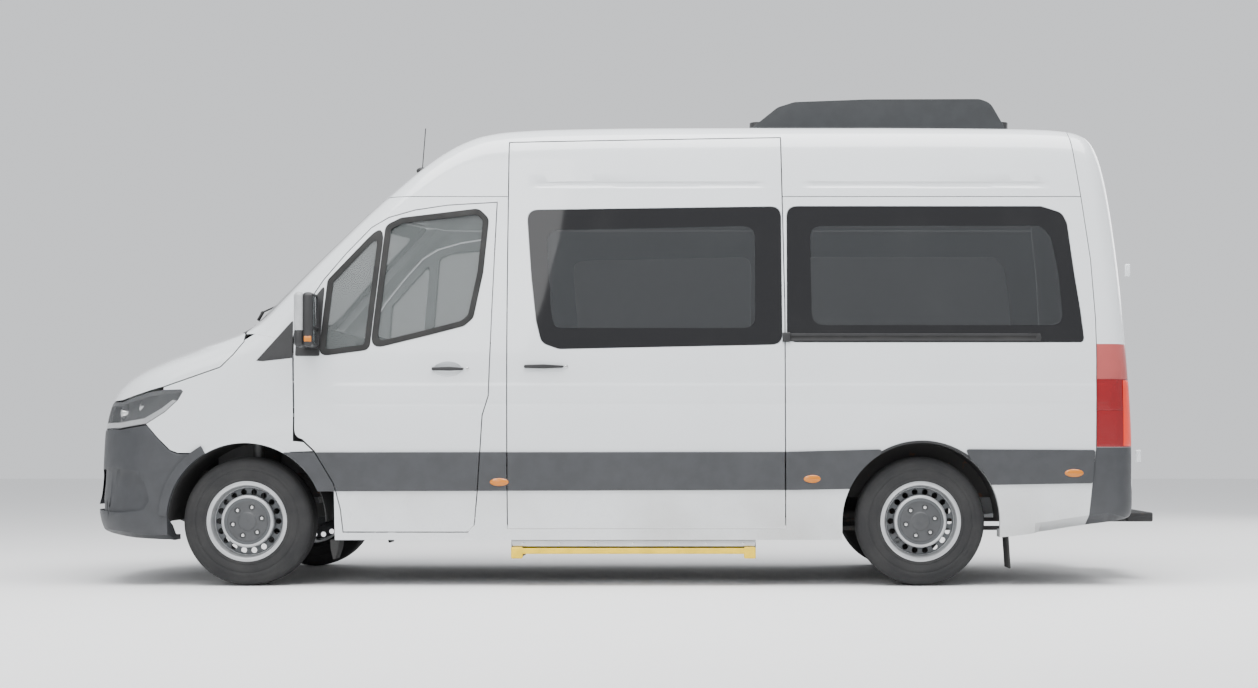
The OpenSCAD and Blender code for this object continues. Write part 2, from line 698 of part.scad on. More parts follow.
// A seat with its base on the floor; the base keeps between the y values given
module seat(x, y, back_h, base_y, rest = false) {
    side_z = floor_z[1] + fit;
    box([x + 60, base_y[0], side_z], [x + 390, base_y[1], side_z + 290]);
    box([x, y[0], side_z + 290], [x + 480, y[1], side_z + 420]);
    translate([x + 440, y[0] + 10, side_z + 380]) rotate([0, 12, 0]) cube([110, y[1] - y[0] - 20, back_h]);
    if (rest) translate([x + 440, (y[0] + y[1]) / 2, side_z + 380]) rotate([0, 12, 0]) {
        translate([20, -60, back_h - 5]) cube([30, 120, 50]);
        translate([0, -130, back_h + 40]) cube([90, 260, 170]);
    }
}
module cab_seats() {
    color("dimgray") placed() for (y = [-430, 430])
        seat(870, [y - 260, y + 260], 520, [y - 190, y + 190], true);
}
rows_x = [1650, 2340, 3030, 3720];
module passenger_seats() {
    color("dimgray") placed() for (x = rows_x) {
        seat(sx(x), [90, 900], 380, [180, 660]);
        if (x > rows_x[0]) seat(sx(x), [-900, -450], 380, [-660, -490]);
    }
}
module engine() {
    color("gray") placed() box([-330, -290, 430], [250, 290, 980]);
}
arm_z = 250;
kingpin_y = 700;
kingpin_r = 14;
module front_subframe() {
    color("dimgray") placed() difference() {
        union() {
            box([-150, -rail_y[1], 330], [150, rail_y[1], 430 - fit]);
            for (s = [-1, 1]) {
                side_box(s, [-130, 130], rail_y, [430 - fit - 1, 470 - fit]);
                side_box(s, [-45, 45], [300, kingpin_y], [arm_z - 20, arm_z + 20]);
                side_box(s, [-45, 45], [300, 360], [arm_z, 331]);
                translate([0, s * kingpin_y, arm_z - 20]) cylinder(r = 45, h = 40);
            }
        }
        for (s = [-1, 1]) translate([0, s * kingpin_y, arm_z - 30]) cylinder(r = kingpin_r + pin_gap, h = 60);
    }
}
module knuckle(side) {
    low = arm_z + 20 + fit;
    translate([0, side * kingpin_y, 0]) {
        translate([0, 0, low]) cylinder(r = 28, h = 905 - fit - low);
        translate([0, 0, arm_z - 20]) cylinder(r = kingpin_r, h = 945 - arm_z + 20);
        translate([0, 0, axle_z]) rotate([-90 * side, 0, 0]) cylinder(r = 52, h = 60);
        translate([0, 0, axle_z]) rotate([-90 * side, 0, 0])
            cylinder(r = spindle_r, h = half_track - kingpin_y + 10);
    }
}
module rear_axle() {
    color("dimgray") placed() {
        translate([wheelbase, 0, axle_z]) rotate([90, 0, 0])
            cylinder(r = 42, h = 2 * (half_track - 90), center = true);
        translate([wheelbase, 0, axle_z]) rotate([90, 0, 0])
            cylinder(r = spindle_r, h = 2 * (half_track + 10), center = true);
        translate([wheelbase, 0, axle_z]) sphere(130);
        rod(38, [253, 0, 465], [wheelbase - 60, 0, axle_z]);
        for (s = [-1, 1]) {
            spring_y = s > 0 ? 560 : -630;
            box([sx(2990), spring_y, axle_z - 62], [sx(4330), spring_y + 70, axle_z - 40]);
            box([wheelbase - 60, spring_y - 5, axle_z - 66], [wheelbase + 60, spring_y + 75, axle_z]);
            for (x = [sx(2990), sx(4300)])
                box([x, spring_y, axle_z - 62], [x + 30, spring_y + 70, floor_z[0] - fit]);
        }
    }
}
module fuel_tank() {
    color("dimgray") placed() box([1250, -860, 330], [2150, -rail_y[1] - 8, floor_z[0] - fit]);
}
module exhaust() {
    color("silver") placed() {
        rod(28, [340, 250, 420], [2500, 250, 420]);
        rod(105, [2450, 250, 420], [2950, 250, 420]);
        rod(28, [2940, 250, 420], [3150, 250, 420]);
        for (x = [1200, 2700]) box([x, 242, 420], [x + 40, 258, floor_z[0] - fit]);
    }
}
// The side step slides out of a housing hung below the sill
step_x = [1458, 1458 + side_step_l];
sill_z = 252;
step_z = 176;
module step_housing() {
    color("gray") placed() {
        box([step_x[0], -955, sill_z - 22], [step_x[1], -560, sill_z - fit]);
        for (e = [-1, 1]) {
            x = e < 0 ? step_x[0] : step_x[1];
            difference() {
                box([x - 20, -955, 150], [x + 20, -560, sill_z - fit]);
                box([e < 0 ? x - 4 : x - 21, -960, step_z - 0.5],
                    [e < 0 ? x + 21 : x + 4, -500, step_z + 24.5]);
            }
        }
    }
}
module side_step() {
    color("gold") placed() {
        box([step_x[0] - 3.5, -957, step_z], [step_x[1] + 3.5, -600, step_z + 24]);
        box([step_x[0] - 20, -985, 150], [step_x[1] + 20, -957, 215]);
    }
}
module mud_flaps() {
    color("black") placed() for (s = [-1, 1]) {
        across(s > 0 ? 740 : -flap_y, s > 0 ? flap_y : -740) translate([wheelbase, 0])
            polygon([[452, floor_z[0] - fit], [464, floor_z[0] - fit], [464, 520], [492, 92], [482, 92],
                [452, 520]]);
        across(s > 0 ? 800 : -flap_y, s > 0 ? flap_y : -800)
            polygon([[446, sill_z - 2 * fit], [500, sill_z - 2 * fit], [474, 143], [462, 143]]);
    }
}
module rear_step() {
    reach = rear_x + rear_step_reach;
    color("black") placed() difference() {
        union() {
            box([rear_x + 8, -480, 330], [reach, 480, 385]);
            for (s = [-1, 1]) {
                side_box(s, [rear_x - 330, reach - 100], [405, 465], [330, 358]);
                side_box(s, [rear_x - 330, rear_x - 280], [405, 465], [330, 470 - fit]);
            }
        }
        translate([reach + 1, 0, 357]) rotate([0, -90, 0]) cylinder(r = 12, h = 81);
    }
}

// Wheels
rim_r = 203;
module tyre(x, y) {
    hw = tyre_w / 2;
    translate([x, y, axle_z]) rotate([90, 0, 0]) rotate_extrude($fn = 96)
        polygon([[rim_r + 1, -hw + 25], [rim_r + 14.6, -hw + 17], [rim_r + 15, -hw + 6], [rim_r + 60, -hw],
            [tyre_r - 40, -hw + 6],
            [tyre_r - 12, -hw + 20], [tyre_r, -hw + 46], [tyre_r, hw - 46], [tyre_r - 12, hw - 20],
            [tyre_r - 40, hw - 6], [rim_r + 60, hw], [rim_r + 15, hw - 6], [rim_r + 14.6, hw - 17],
            [rim_r + 1, hw - 25]]);
}
// The disc stands towards the outside, which is +Y before it is turned
module rim(x, y, side) {
    hw = tyre_w / 2;
    face = hw - 58;
    translate([x, y, axle_z]) rotate([90 * -side, 0, 0]) difference() {
        rotate_extrude($fn = 96) polygon([[191, -hw + 24], [203.7, -hw + 24], [203.7, hw - 24],
            [217, hw - 16],
            [217, hw - 8], [195, hw - 8], [186, hw - 40], [182, face], [142, face], [130, hw - 22],
            [104, hw - 26], [92, hw - 34], [0, hw - 30], [0, -8], [95, -8], [100, face - 4], [118, face - 6],
            [126, face - 8], [186, face - 8], [191, face - 20]]);
        translate([0, 0, -hw]) cylinder(r = spindle_r + pin_gap, h = hw + 12);
        for (a = [0:20:340]) rotate([0, 0, a]) translate([161, 0, face - 20]) cylinder(r = 16, h = 40);
    }
}

// The nodes that share a shape with another
module left_body_side() { color("gainsboro") placed() body_side(-1); }
module right_body_side() { color("gainsboro") placed() body_side(1); }
module left_wing() { color("gainsboro") placed() wing(-1); }
module right_wing() { color("gainsboro") placed() wing(1); }
module left_front_door() { color("gainsboro") placed() front_door(-1); }
module right_front_door() { color("gainsboro") placed() front_door(1); }
module left_door_window() { color("darkslategray", 0.6) placed() door_window(-1); }
module right_door_window() { color("darkslategray", 0.6) placed() door_window(1); }
module left_mirror() { color("dimgray") placed() door_mirror(-1); }
module right_mirror() { color("dimgray") placed() door_mirror(1); }
module left_rear_door() { color("gainsboro") placed() tail_door(-1); }
module right_rear_door() { color("gainsboro") placed() tail_door(1); }
module left_rear_window() { color("darkslategray", 0.7) placed() tail_pane(-1); }
module right_rear_window() { color("darkslategray", 0.7) placed() tail_pane(1); }
module left_knuckle() { color("dimgray") placed() knuckle(-1); }
module right_knuckle() { color("dimgray") placed() knuckle(1); }
module front_left_tyre() { color("black") placed() tyre(0, -half_track); }
module front_right_tyre() { color("black") placed() tyre(0, half_track); }
module rear_left_tyre() { color("black") placed() tyre(wheelbase, -half_track); }
module rear_right_tyre() { color("black") placed() tyre(wheelbase, half_track); }
module front_left_rim() { color("silver") placed() rim(0, -half_track, -1); }
module front_right_rim() { color("silver") placed() rim(0, half_track, 1); }
module rear_left_rim() { color("silver") placed() rim(wheelbase, -half_track, -1); }
module rear_right_rim() { color("silver") placed() rim(wheelbase, half_track, 1); }

floor_pan();
left_body_side();
right_body_side();
roof();
rear_frame();
left_wing();
right_wing();
windscreen();
scuttle();
grille();
front_bumper();
rear_bumper();
rear_step();
headlamps();
tail_lamps();
sliding_door();
side_windows();
air_conditioner();
dashboard();
steering_wheel();
cab_seats();
passenger_seats();
engine();
front_subframe();
rear_axle();
fuel_tank();
exhaust();
step_housing();
side_step();
mud_flaps();
bonnet();
left_front_door();
right_front_door();
left_door_window();
right_door_window();
left_mirror();
right_mirror();
left_rear_door();
right_rear_door();
left_rear_window();
right_rear_window();
left_knuckle();
right_knuckle();
front_left_tyre();
front_right_tyre();
rear_left_tyre();
rear_right_tyre();
front_left_rim();
front_right_rim();
rear_left_rim();
rear_right_rim();
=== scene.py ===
"""High-roof minibus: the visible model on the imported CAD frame. Metres in Blender, millimetres in the tables."""
import json
import math
import bpy
import numpy as np
from mathutils import Matrix, Vector

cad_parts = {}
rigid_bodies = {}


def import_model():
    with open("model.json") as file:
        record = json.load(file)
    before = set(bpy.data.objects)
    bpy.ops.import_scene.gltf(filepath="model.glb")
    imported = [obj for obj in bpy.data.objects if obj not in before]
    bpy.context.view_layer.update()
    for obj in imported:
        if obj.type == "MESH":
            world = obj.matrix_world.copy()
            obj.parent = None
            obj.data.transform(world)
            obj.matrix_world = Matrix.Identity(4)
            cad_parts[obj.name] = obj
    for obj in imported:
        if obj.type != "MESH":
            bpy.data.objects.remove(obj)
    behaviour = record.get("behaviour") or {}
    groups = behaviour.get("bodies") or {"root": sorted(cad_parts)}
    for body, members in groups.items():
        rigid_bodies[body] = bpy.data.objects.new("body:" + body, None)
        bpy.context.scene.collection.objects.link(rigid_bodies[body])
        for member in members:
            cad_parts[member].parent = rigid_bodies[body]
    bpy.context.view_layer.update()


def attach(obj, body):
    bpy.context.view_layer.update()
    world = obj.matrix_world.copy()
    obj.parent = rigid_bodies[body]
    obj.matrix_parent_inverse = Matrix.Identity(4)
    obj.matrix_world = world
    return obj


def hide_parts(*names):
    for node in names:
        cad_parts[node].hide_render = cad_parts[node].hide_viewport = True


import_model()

MID = 2019.0          # lengthwise middle of the vehicle behind the front axle
WHEELBASE = 3665.0
AXLE_Z = 352.0
ARCH_R = 428.0
GAP = 6.0             # shut gap between panels
WHEEL_Y = 855.0       # side distance of each wheel's middle
WALL = 45.0           # depth of the side walls, roof and door cores
HINGE_Y = 981.0       # side distance of the front doors' axes
HINGE_Z = (930.0, 1250.0)
HANDLE_Y = 1010.0
LEFT = -1
RIGHT = 1


def hand_word(side):
    return "left" if side == LEFT else "right"


# ---------------------------------------------------------------- shader maths
class Value:
    """One output of a node in a material, with the operators of ordinary arithmetic."""

    def __init__(self, tree, socket=None):
        self.tree = tree
        self.socket = socket

    def node(self, kind, settings=None, links=None, out=0):
        made = self.tree.nodes.new(kind)
        for key, setting in (settings or {}).items():
            if key == "stops":
                ramp = made.color_ramp
                while len(ramp.elements) < len(setting):
                    ramp.elements.new(0.5)
                for stop, (place, colour) in zip(ramp.elements, setting):
                    stop.position = place
                    stop.color = (*colour, 1.0)
            else:
                setattr(made, key, setting)
        for key, given in (links or {}).items():
            if isinstance(given, Value):
                self.tree.links.new(given.socket, made.inputs[key])
            else:
                made.inputs[key].default_value = given
        return Value(self.tree, made.outputs[out])

    def math(self, operation, a, b=0.0):
        return self.node("ShaderNodeMath", {"operation": operation}, {0: a, 1: b})

    def __add__(self, other):
        return self.math("ADD", self, other)

    def __radd__(self, other):
        return self.math("ADD", other, self)

    def __sub__(self, other):
        return self.math("SUBTRACT", self, other)

    def __rsub__(self, other):
        return self.math("SUBTRACT", other, self)

    def __mul__(self, other):
        return self.math("MULTIPLY", self, other)

    def __rmul__(self, other):
        return self.math("MULTIPLY", other, self)

    def between(self, low, high, to_low=0.0, to_high=1.0):
        return self.node("ShaderNodeMapRange", {"interpolation_type": "SMOOTHSTEP"},
                         {0: self, 1: low, 2: high, 3: to_low, 4: to_high})

    def mix(self, a, b):
        """Colour a where this value is 0 and colour b where it is 1."""
        full = lambda c: c if isinstance(c, Value) else (*c, 1.0)
        return self.node("ShaderNodeMix", {"data_type": "RGBA"}, {0: self, 6: full(a), 7: full(b)}, out=2)


def new_material(name, metallic=0.0, coat=0.0, ior=1.5, coat_roughness=0.05, sheen=0.0):
    made = bpy.data.materials.new(name)
    made.use_nodes = True
    shader = made.node_tree.nodes["Principled BSDF"]
    shader.inputs["Metallic"].default_value = metallic
    shader.inputs["Coat Weight"].default_value = coat
    shader.inputs["Coat Roughness"].default_value = coat_roughness
    shader.inputs["IOR"].default_value = ior
    shader.inputs["Sheen Weight"].default_value = sheen
    return made, shader, Value(made.node_tree)


def connect(tree, shader, **links):
    for key, given in links.items():
        socket = shader.inputs[key.replace("_", " ")]
        if isinstance(given, Value):
            tree.tree.links.new(given.socket, socket)
        elif isinstance(given, tuple):
            socket.default_value = (*given, 1.0)
        else:
            socket.default_value = given


def coordinates(tree, scale=(1, 1, 1)):
    place = tree.node("ShaderNodeTexCoord", out=3)
    return tree.node("ShaderNodeMapping", {}, {0: place, 3: scale})


def height(tree):
    place = tree.node("ShaderNodeTexCoord", out=3)
    return tree.node("ShaderNodeSeparateXYZ", {}, {0: place}, out=2)


def noise(tree, scale, detail=3.0, roughness=0.55, stretch=(1, 1, 1)):
    return tree.node("ShaderNodeTexNoise", {}, {0: coordinates(tree, stretch), 2: scale, 3: detail, 4: roughness})


def bump(tree, value, strength, distance):
    return tree.node("ShaderNodeBump", {}, {0: strength, 1: distance, "Height": value})


def paint(name, colour, dirt=(0.30, 0.28, 0.25)):
    """Clear-coated paint: faint orange peel, slight mottling, dust that thickens towards the sills."""
    made, shader, t = new_material(name, coat=1.0, coat_roughness=0.04)
    cloud = noise(t, 1.3, 4.0)
    speck = noise(t, 90.0, 2.0)
    low = height(t).between(0.15, 0.95, 1.0, 0.0)
    dust = low * cloud.between(0.35, 0.75) * 0.55 + low * speck.between(0.55, 0.75) * 0.12
    shade = cloud.between(0.2, 0.8).mix(tuple(c * 0.975 for c in colour), tuple(c * 1.02 for c in colour))
    connect(t, shader, Base_Color=dust.mix(shade, dirt), Roughness=0.24 + dust * 0.5,
            Coat_Weight=1.0 - dust * 0.9, Normal=bump(t, noise(t, 420.0, 1.0), 0.04, 0.0004))
    return made


def plastic(name, colour, roughness=0.45, grain=900.0, depth=0.0004, dust=0.3, dust_top=1.0, coat=0.0):
    """Moulded plastic with a fine leather grain, scuffs and pale dust on its lower parts."""
    made, shader, t = new_material(name, coat=coat)
    leather = t.node("ShaderNodeTexVoronoi", {"feature": "F1"}, {0: coordinates(t), "Scale": grain})
    cloud = noise(t, 3.1, 5.0)
    low = height(t).between(0.1, dust_top, 1.0, 0.25)
    veil = cloud.between(0.4, 0.75) * low * dust
    pale = tuple(c * 0.5 + 0.11 for c in colour)
    darker = tuple(c * 0.9 for c in colour)
    paler = tuple(c * 1.1 for c in colour)
    shade = noise(t, 14.0).between(0.3, 0.7).mix(darker, paler)
    connect(t, shader, Base_Color=veil.mix(shade, pale),
            Roughness=roughness + cloud * 0.12 + veil * 0.2, Normal=bump(t, leather, 0.35, depth))
    return made


def metal(name, colour, roughness=0.35, rust=0.0, metallic=1.0):
    """Metal with fine brushing, stains, and rust spots where rust is above zero."""
    made, shader, t = new_material(name, metallic=metallic)
    lines = noise(t, 60.0, 2.0, stretch=(1, 1, 12))
    cloud = noise(t, 5.0, 5.0)
    stain = noise(t, 17.0, 5.0).between(0.60, 0.70) * rust
    shade = cloud.between(0.3, 0.7).mix(tuple(c * 0.85 for c in colour), colour)
    connect(t, shader, Base_Color=stain.mix(shade, (0.16, 0.07, 0.035)),
            Metallic=metallic - stain * metallic,
            Roughness=roughness + lines * 0.15 + stain * 0.4, Normal=bump(t, lines, 0.08, 0.0005))
    return made


def glass(name, colour, alpha, roughness=0.02):
    """Tinted glass with a thin film of dust in scattered patches."""
    made, shader, t = new_material(name, ior=1.5)
    film = noise(t, 2.2, 3.0).between(0.5, 0.9) * 0.02
    connect(t, shader, Base_Color=film.mix(colour, (0.35, 0.35, 0.34)), Roughness=roughness + film * 0.6,
            Alpha=alpha + film * (1.0 - alpha))
    return made


def lamp_lens(name, colour, alpha, ribs=0.0):
    """Moulded lamp lens with fine vertical ribs inside."""
    made, shader, t = new_material(name, coat=0.15, coat_roughness=0.04)
    wave = t.node("ShaderNodeTexWave", {"bands_direction": "Z"}, {0: coordinates(t), "Scale": 40.0})
    shade = noise(t, 9.0).mix(tuple(c * 0.85 for c in colour), colour)
    connect(t, shader, Base_Color=shade, Roughness=0.08, Alpha=alpha, Normal=bump(t, wave, ribs, 0.001))
    return made


def fabric(name, colour, dark):
    """Woven seat cloth with a fine two-way weave and a scattered fleck."""
    made, shader, t = new_material(name, sheen=0.25)
    warp = t.node("ShaderNodeTexWave", {"bands_direction": "Z"}, {0: coordinates(t), "Scale": 170.0})
    weft = t.node("ShaderNodeTexWave", {"bands_direction": "Y"}, {0: coordinates(t), "Scale": 170.0})
    weave = warp * weft
    fleck = noise(t, 120.0, 2.0).between(0.52, 0.66)
    shade = fleck.mix(colour, dark)
    connect(t, shader, Base_Color=(weave * 0.5).mix(shade, dark), Roughness=0.9,
            Normal=bump(t, weave, 0.5, 0.0008))
    return made


def rubber(name, colour=(0.014, 0.014, 0.015)):
    """Tyre rubber: dusty grey bloom and fine scuffs."""
    made, shader, t = new_material(name)
    cloud = noise(t, 7.0, 5.0)
    fine = noise(t, 260.0, 3.0)
    bloom = cloud.between(0.35, 0.75) * 0.30
    connect(t, shader, Base_Color=bloom.mix(colour, (0.050, 0.049, 0.047)), Roughness=0.72 + fine * 0.2,
            Normal=bump(t, fine, 0.25, 0.0006))
    return made


WHITE = paint("white_paint", (0.70, 0.725, 0.745))
SILVER_SHELL = plastic("silver_shell", (0.42, 0.43, 0.44), 0.35, 1500.0, 0.0001, 0.1)
BUMPER = plastic("bumper_plastic", (0.034, 0.036, 0.040), 0.40, 800.0, 0.0004, 0.08)
CLADDING = plastic("cladding_plastic", (0.036, 0.038, 0.042), 0.46, 700.0, 0.0005, 0.10)
BLACK_TRIM = plastic("black_trim", (0.016, 0.016, 0.017), 0.38, 1200.0, 0.0002, 0.12)
SEAL = rubber("window_seal", (0.012, 0.012, 0.012))
CABIN_DARK = plastic("cabin_dark_plastic", (0.060, 0.060, 0.064), 0.6, 700.0, 0.0005, 0.0)
CABIN_LIGHT = plastic("cabin_light_lining", (0.42, 0.42, 0.41), 0.7, 500.0, 0.0004, 0.0)
COOLER = plastic("cooler_plastic", (0.022, 0.024, 0.026), 0.24, 1500.0, 0.0001, 0.04, 3.0, coat=0.5)
DARK_GLASS = glass("privacy_glass", (0.030, 0.032, 0.034), 0.66)
FRIT = glass("black_glass_border", (0.006, 0.006, 0.007), 1.0, 0.03)
CLEAR_GLASS = glass("light_glass", (0.10, 0.115, 0.115), 0.36)
LENS = lamp_lens("clear_lens", (0.50, 0.52, 0.54), 0.07)
RED_LENS = lamp_lens("red_lens", (0.22, 0.002, 0.005), 1.0, 0.25)
PINK_LENS = lamp_lens("pale_red_lens", (0.40, 0.075, 0.07), 1.0, 0.25)
HOT_LENS = lamp_lens("orange_red_lens", (0.80, 0.035, 0.008), 1.0, 0.15)
AMBER = lamp_lens("amber_lens", (0.55, 0.17, 0.005), 1.0, 0.2)
CHROME = metal("chrome", (0.80, 0.80, 0.80), 0.08)
WHEEL_SILVER = metal("wheel_silver", (0.50, 0.51, 0.52), 0.30, rust=0.0, metallic=0.7)
WHEEL_DARK = metal("wheel_dark", (0.10, 0.105, 0.11), 0.42, rust=0.10, metallic=0.6)
TYRE = rubber("tyre_rubber")
FLAP = rubber("flap_rubber", (0.02, 0.02, 0.02))
UNDERBODY = metal("underbody_coat", (0.045, 0.043, 0.042), 0.62, rust=0.6, metallic=0.2)
ENGINE_METAL = metal("engine_metal", (0.22, 0.22, 0.22), 0.5, rust=0.4, metallic=0.8)
EXHAUST = metal("exhaust_steel", (0.34, 0.31, 0.28), 0.5, rust=1.0)
YELLOW = plastic("yellow_edge", (0.82, 0.55, 0.004), 0.4, 900.0, 0.0003, 0.05)
ALUMINIUM = metal("step_aluminium", (0.60, 0.61, 0.62), 0.38, rust=0.0)
STEP_BLACK = metal("step_black", (0.030, 0.030, 0.031), 0.5, rust=0.25, metallic=0.3)
SEAT_CLOTH = fabric("seat_cloth", (0.075, 0.080, 0.095), (0.03, 0.03, 0.035))
MIRROR_GLASS = metal("mirror_glass", (0.82, 0.84, 0.86), 0.03)
BRIGHT = metal("bright_bolt", (0.75, 0.75, 0.74), 0.2)
HALOGEN = lamp_lens("warm_bulb", (0.62, 0.42, 0.24), 1.0, 0.1)
CAP_GREY = plastic("hub_cap_plastic", (0.050, 0.052, 0.055), 0.4, 900.0, 0.0002, 0.12)
LENS_BALL = lamp_lens("projector_lens", (0.30, 0.33, 0.36), 1.0)


# ---------------------------------------------------------------- modelling helpers
def pt(u, y, z):
    """A point from its distance behind the front axle, its side distance and its height, in millimetres."""
    return ((u - MID) / 1000.0, y / 1000.0, z / 1000.0)


def only(*objects):
    bpy.ops.object.select_all(action="DESELECT")
    for each in objects:
        each.select_set(True)
    bpy.context.view_layer.objects.active = objects[-1]


def from_points(name, points, faces):
    mesh = bpy.data.meshes.new(name)
    mesh.from_pydata([tuple(p) for p in points], [], [list(f) for f in faces])
    made = bpy.data.objects.new(name, mesh)
    bpy.context.scene.collection.objects.link(made)
    return made


def drop(*objects):
    for each in objects:
        mesh = each.data
        bpy.data.objects.remove(each)
        bpy.data.meshes.remove(mesh)


def copied(source, name):
    made = source.copy()
    made.data = source.data.copy()
    made.name = name
    bpy.context.scene.collection.objects.link(made)
    return made


def settle(thing):
    """Puts the object's place, turn and scale into its mesh."""
    only(thing)
    bpy.ops.object.transform_apply(location=True, rotation=True, scale=True)
    return thing


def apply_modifiers(thing):
    only(thing)
    for each in list(thing.modifiers):
        bpy.ops.object.modifier_apply(modifier=each.name)
    return thing


def outward(thing, weld=0.00002):
    only(thing)
    bpy.ops.object.mode_set(mode="EDIT")
    bpy.ops.mesh.select_all(action="SELECT")
    bpy.ops.mesh.remove_doubles(threshold=weld)
    bpy.ops.mesh.normals_make_consistent(inside=False)
    bpy.ops.object.mode_set(mode="OBJECT")
    return thing


def slab(points, plane, low, high):
    """A flat outline carried through the body: "side" is u by z, "end" is y by z and "plan" is u by y."""
    if plane == "side":
        start = [pt(a, low, b) for a, b in points]
        reach = (0, (high - low) / 1000.0, 0)
    elif plane == "end":
        start = [pt(low, a, b) for a, b in points]
        reach = ((high - low) / 1000.0, 0, 0)
    else:
        start = [pt(a, b, low) for a, b in points]
        reach = (0, 0, (high - low) / 1000.0)
    made = from_points("slab", start, [range(len(start))])
    only(made)
    bpy.ops.object.mode_set(mode="EDIT")
    bpy.ops.mesh.select_all(action="SELECT")
    bpy.ops.mesh.extrude_region_move(TRANSFORM_OT_translate={"value": reach})
    bpy.ops.mesh.select_all(action="SELECT")
    bpy.ops.mesh.normals_make_consistent(inside=False)
    bpy.ops.object.mode_set(mode="OBJECT")
    return made


def on_side(points, side, inner=350.0):
    return slab(points, "side", inner if side > 0 else -1400.0, 1400.0 if side > 0 else -inner)


def boolean(thing, cutter, how="DIFFERENCE", keep=False):
    cut = thing.modifiers.new("cut", "BOOLEAN")
    cut.operation = how
    cut.solver = "MANIFOLD"
    cut.object = cutter
    apply_modifiers(thing)
    if not keep:
        drop(cutter)
    return thing


def soften(thing, width, segments=2, angle=30.0):
    edge = thing.modifiers.new("edge", "BEVEL")
    edge.width = width / 1000.0
    edge.segments = segments
    edge.limit_method = "ANGLE"
    edge.angle_limit = math.radians(angle)
    edge.use_clamp_overlap = True
    return apply_modifiers(thing)


def smooth(thing, angle=32.0):
    only(thing)
    bpy.ops.object.shade_smooth_by_angle(angle=math.radians(angle))
    return thing


def grown(points, delta):
    """The outline with every side moved outwards by delta."""
    area = sum(a[0] * b[1] - b[0] * a[1] for a, b in zip(points, points[1:] + points[:1]))
    turn = 1.0 if area > 0 else -1.0
    made = []
    for before, here, after in zip(points[-1:] + points[:-1], points, points[1:] + points[:1]):
        a = Vector((here[0] - before[0], here[1] - before[1])).normalized()
        b = Vector((after[0] - here[0], after[1] - here[1])).normalized()
        na = Vector((a.y, -a.x)) * turn
        nb = Vector((b.y, -b.x)) * turn
        both = na + nb
        if both.length < 0.2:
            both = na * 2.0
        shift = both * (2.0 * delta / both.length_squared)
        if shift.length > 3.0 * abs(delta):
            shift = shift.normalized() * 3.0 * abs(delta)
        made.append((here[0] + shift.x, here[1] + shift.y))
    return made


def rounded(points, radius, steps=6):
    """The outline with each corner turned into an arc, as large as its sides allow."""
    made = []
    for before, here, after in zip(points[-1:] + points[:-1], points, points[1:] + points[:1]):
        p = Vector(here)
        a = Vector(before) - p
        b = Vector(after) - p
        angle = a.angle(b, math.pi)
        if angle > math.radians(172):
            made.append(tuple(p))
            continue
        reach = min(radius / math.tan(angle / 2), a.length * 0.48, b.length * 0.48)
        start = p + a.normalized() * reach
        end = p + b.normalized() * reach
        for k in range(steps + 1):
            t = k / steps
            q = start * (1 - t) ** 2 + p * 2 * t * (1 - t) + end * t ** 2
            made.append(tuple(q))
    return made


def circle(u, z, radius, n=72, start=0.0, sweep=360.0):
    whole = sweep >= 360.0
    steps = n if whole else n + 1
    return [(u + radius * math.cos(math.radians(start + sweep * k / n)),
             z + radius * math.sin(math.radians(start + sweep * k / n))) for k in range(steps)]


def piece(thing, name, body, material, stands_for=()):
    """Names a finished piece, gives it its finish and says what it rides on and stands for."""
    thing.name = name
    thing.data.name = name
    thing.data.materials.clear()
    thing.data.materials.append(material)
    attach(thing, body)
    if stands_for:
        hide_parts(*stands_for)
    return thing


def block(low, high, bevel=4.0, segments=2):
    """A box between two corners given as (u, y, z), with softened edges."""
    a = Vector(pt(*low))
    b = Vector(pt(*high))
    bpy.ops.object.select_all(action="DESELECT")
    bpy.ops.mesh.primitive_cube_add(size=1.0, location=(a + b) / 2)
    made = bpy.context.object
    made.dimensions = (abs(b.x - a.x), abs(b.y - a.y), abs(b.z - a.z))
    settle(made)
    return soften(made, bevel, segments) if bevel else made


def rod(a, b, radius, sides=24, bevel=0.0):
    """A round bar from a to b, both (u, y, z)."""
    a = Vector(pt(*a))
    b = Vector(pt(*b))
    bpy.ops.object.select_all(action="DESELECT")
    bpy.ops.mesh.primitive_cylinder_add(vertices=sides, radius=radius / 1000.0, depth=(b - a).length,
                                        location=(a + b) / 2,
                                        rotation=(b - a).to_track_quat("Z", "Y").to_euler())
    made = settle(bpy.context.object)
    return soften(made, bevel, 2) if bevel else made


def joined(*things):
    only(*things)
    bpy.ops.object.join()
    return bpy.context.object


def ball(centre, radii, segments=32, rings=20):
    bpy.ops.object.select_all(action="DESELECT")
    bpy.ops.mesh.primitive_uv_sphere_add(segments=segments, ring_count=rings, radius=1.0, location=pt(*centre))
    made = bpy.context.object
    made.scale = [r / 1000.0 for r in radii]
    return settle(made)


def turned(profile, centre, axis_y=1.0, steps=96):
    """A profile of (radius, side distance) pairs spun about a crosswise axis through centre."""
    u, y, z = centre
    start = [pt(u, y + axis_y * b, z + a) for a, b in profile]
    n = len(start)
    made = from_points("turned", start, [])
    made.data.edges.add(n - 1)
    for k, edge in enumerate(made.data.edges):
        edge.vertices = (k, k + 1)
    only(made)
    bpy.ops.object.mode_set(mode="EDIT")
    bpy.ops.mesh.select_all(action="SELECT")
    bpy.ops.mesh.spin(steps=steps, angle=math.tau, center=pt(u, y, z), axis=(0, 1, 0))
    bpy.ops.mesh.select_all(action="SELECT")
    bpy.ops.mesh.remove_doubles(threshold=0.00005)
    bpy.ops.mesh.normals_make_consistent(inside=False)
    bpy.ops.object.mode_set(mode="OBJECT")
    return made


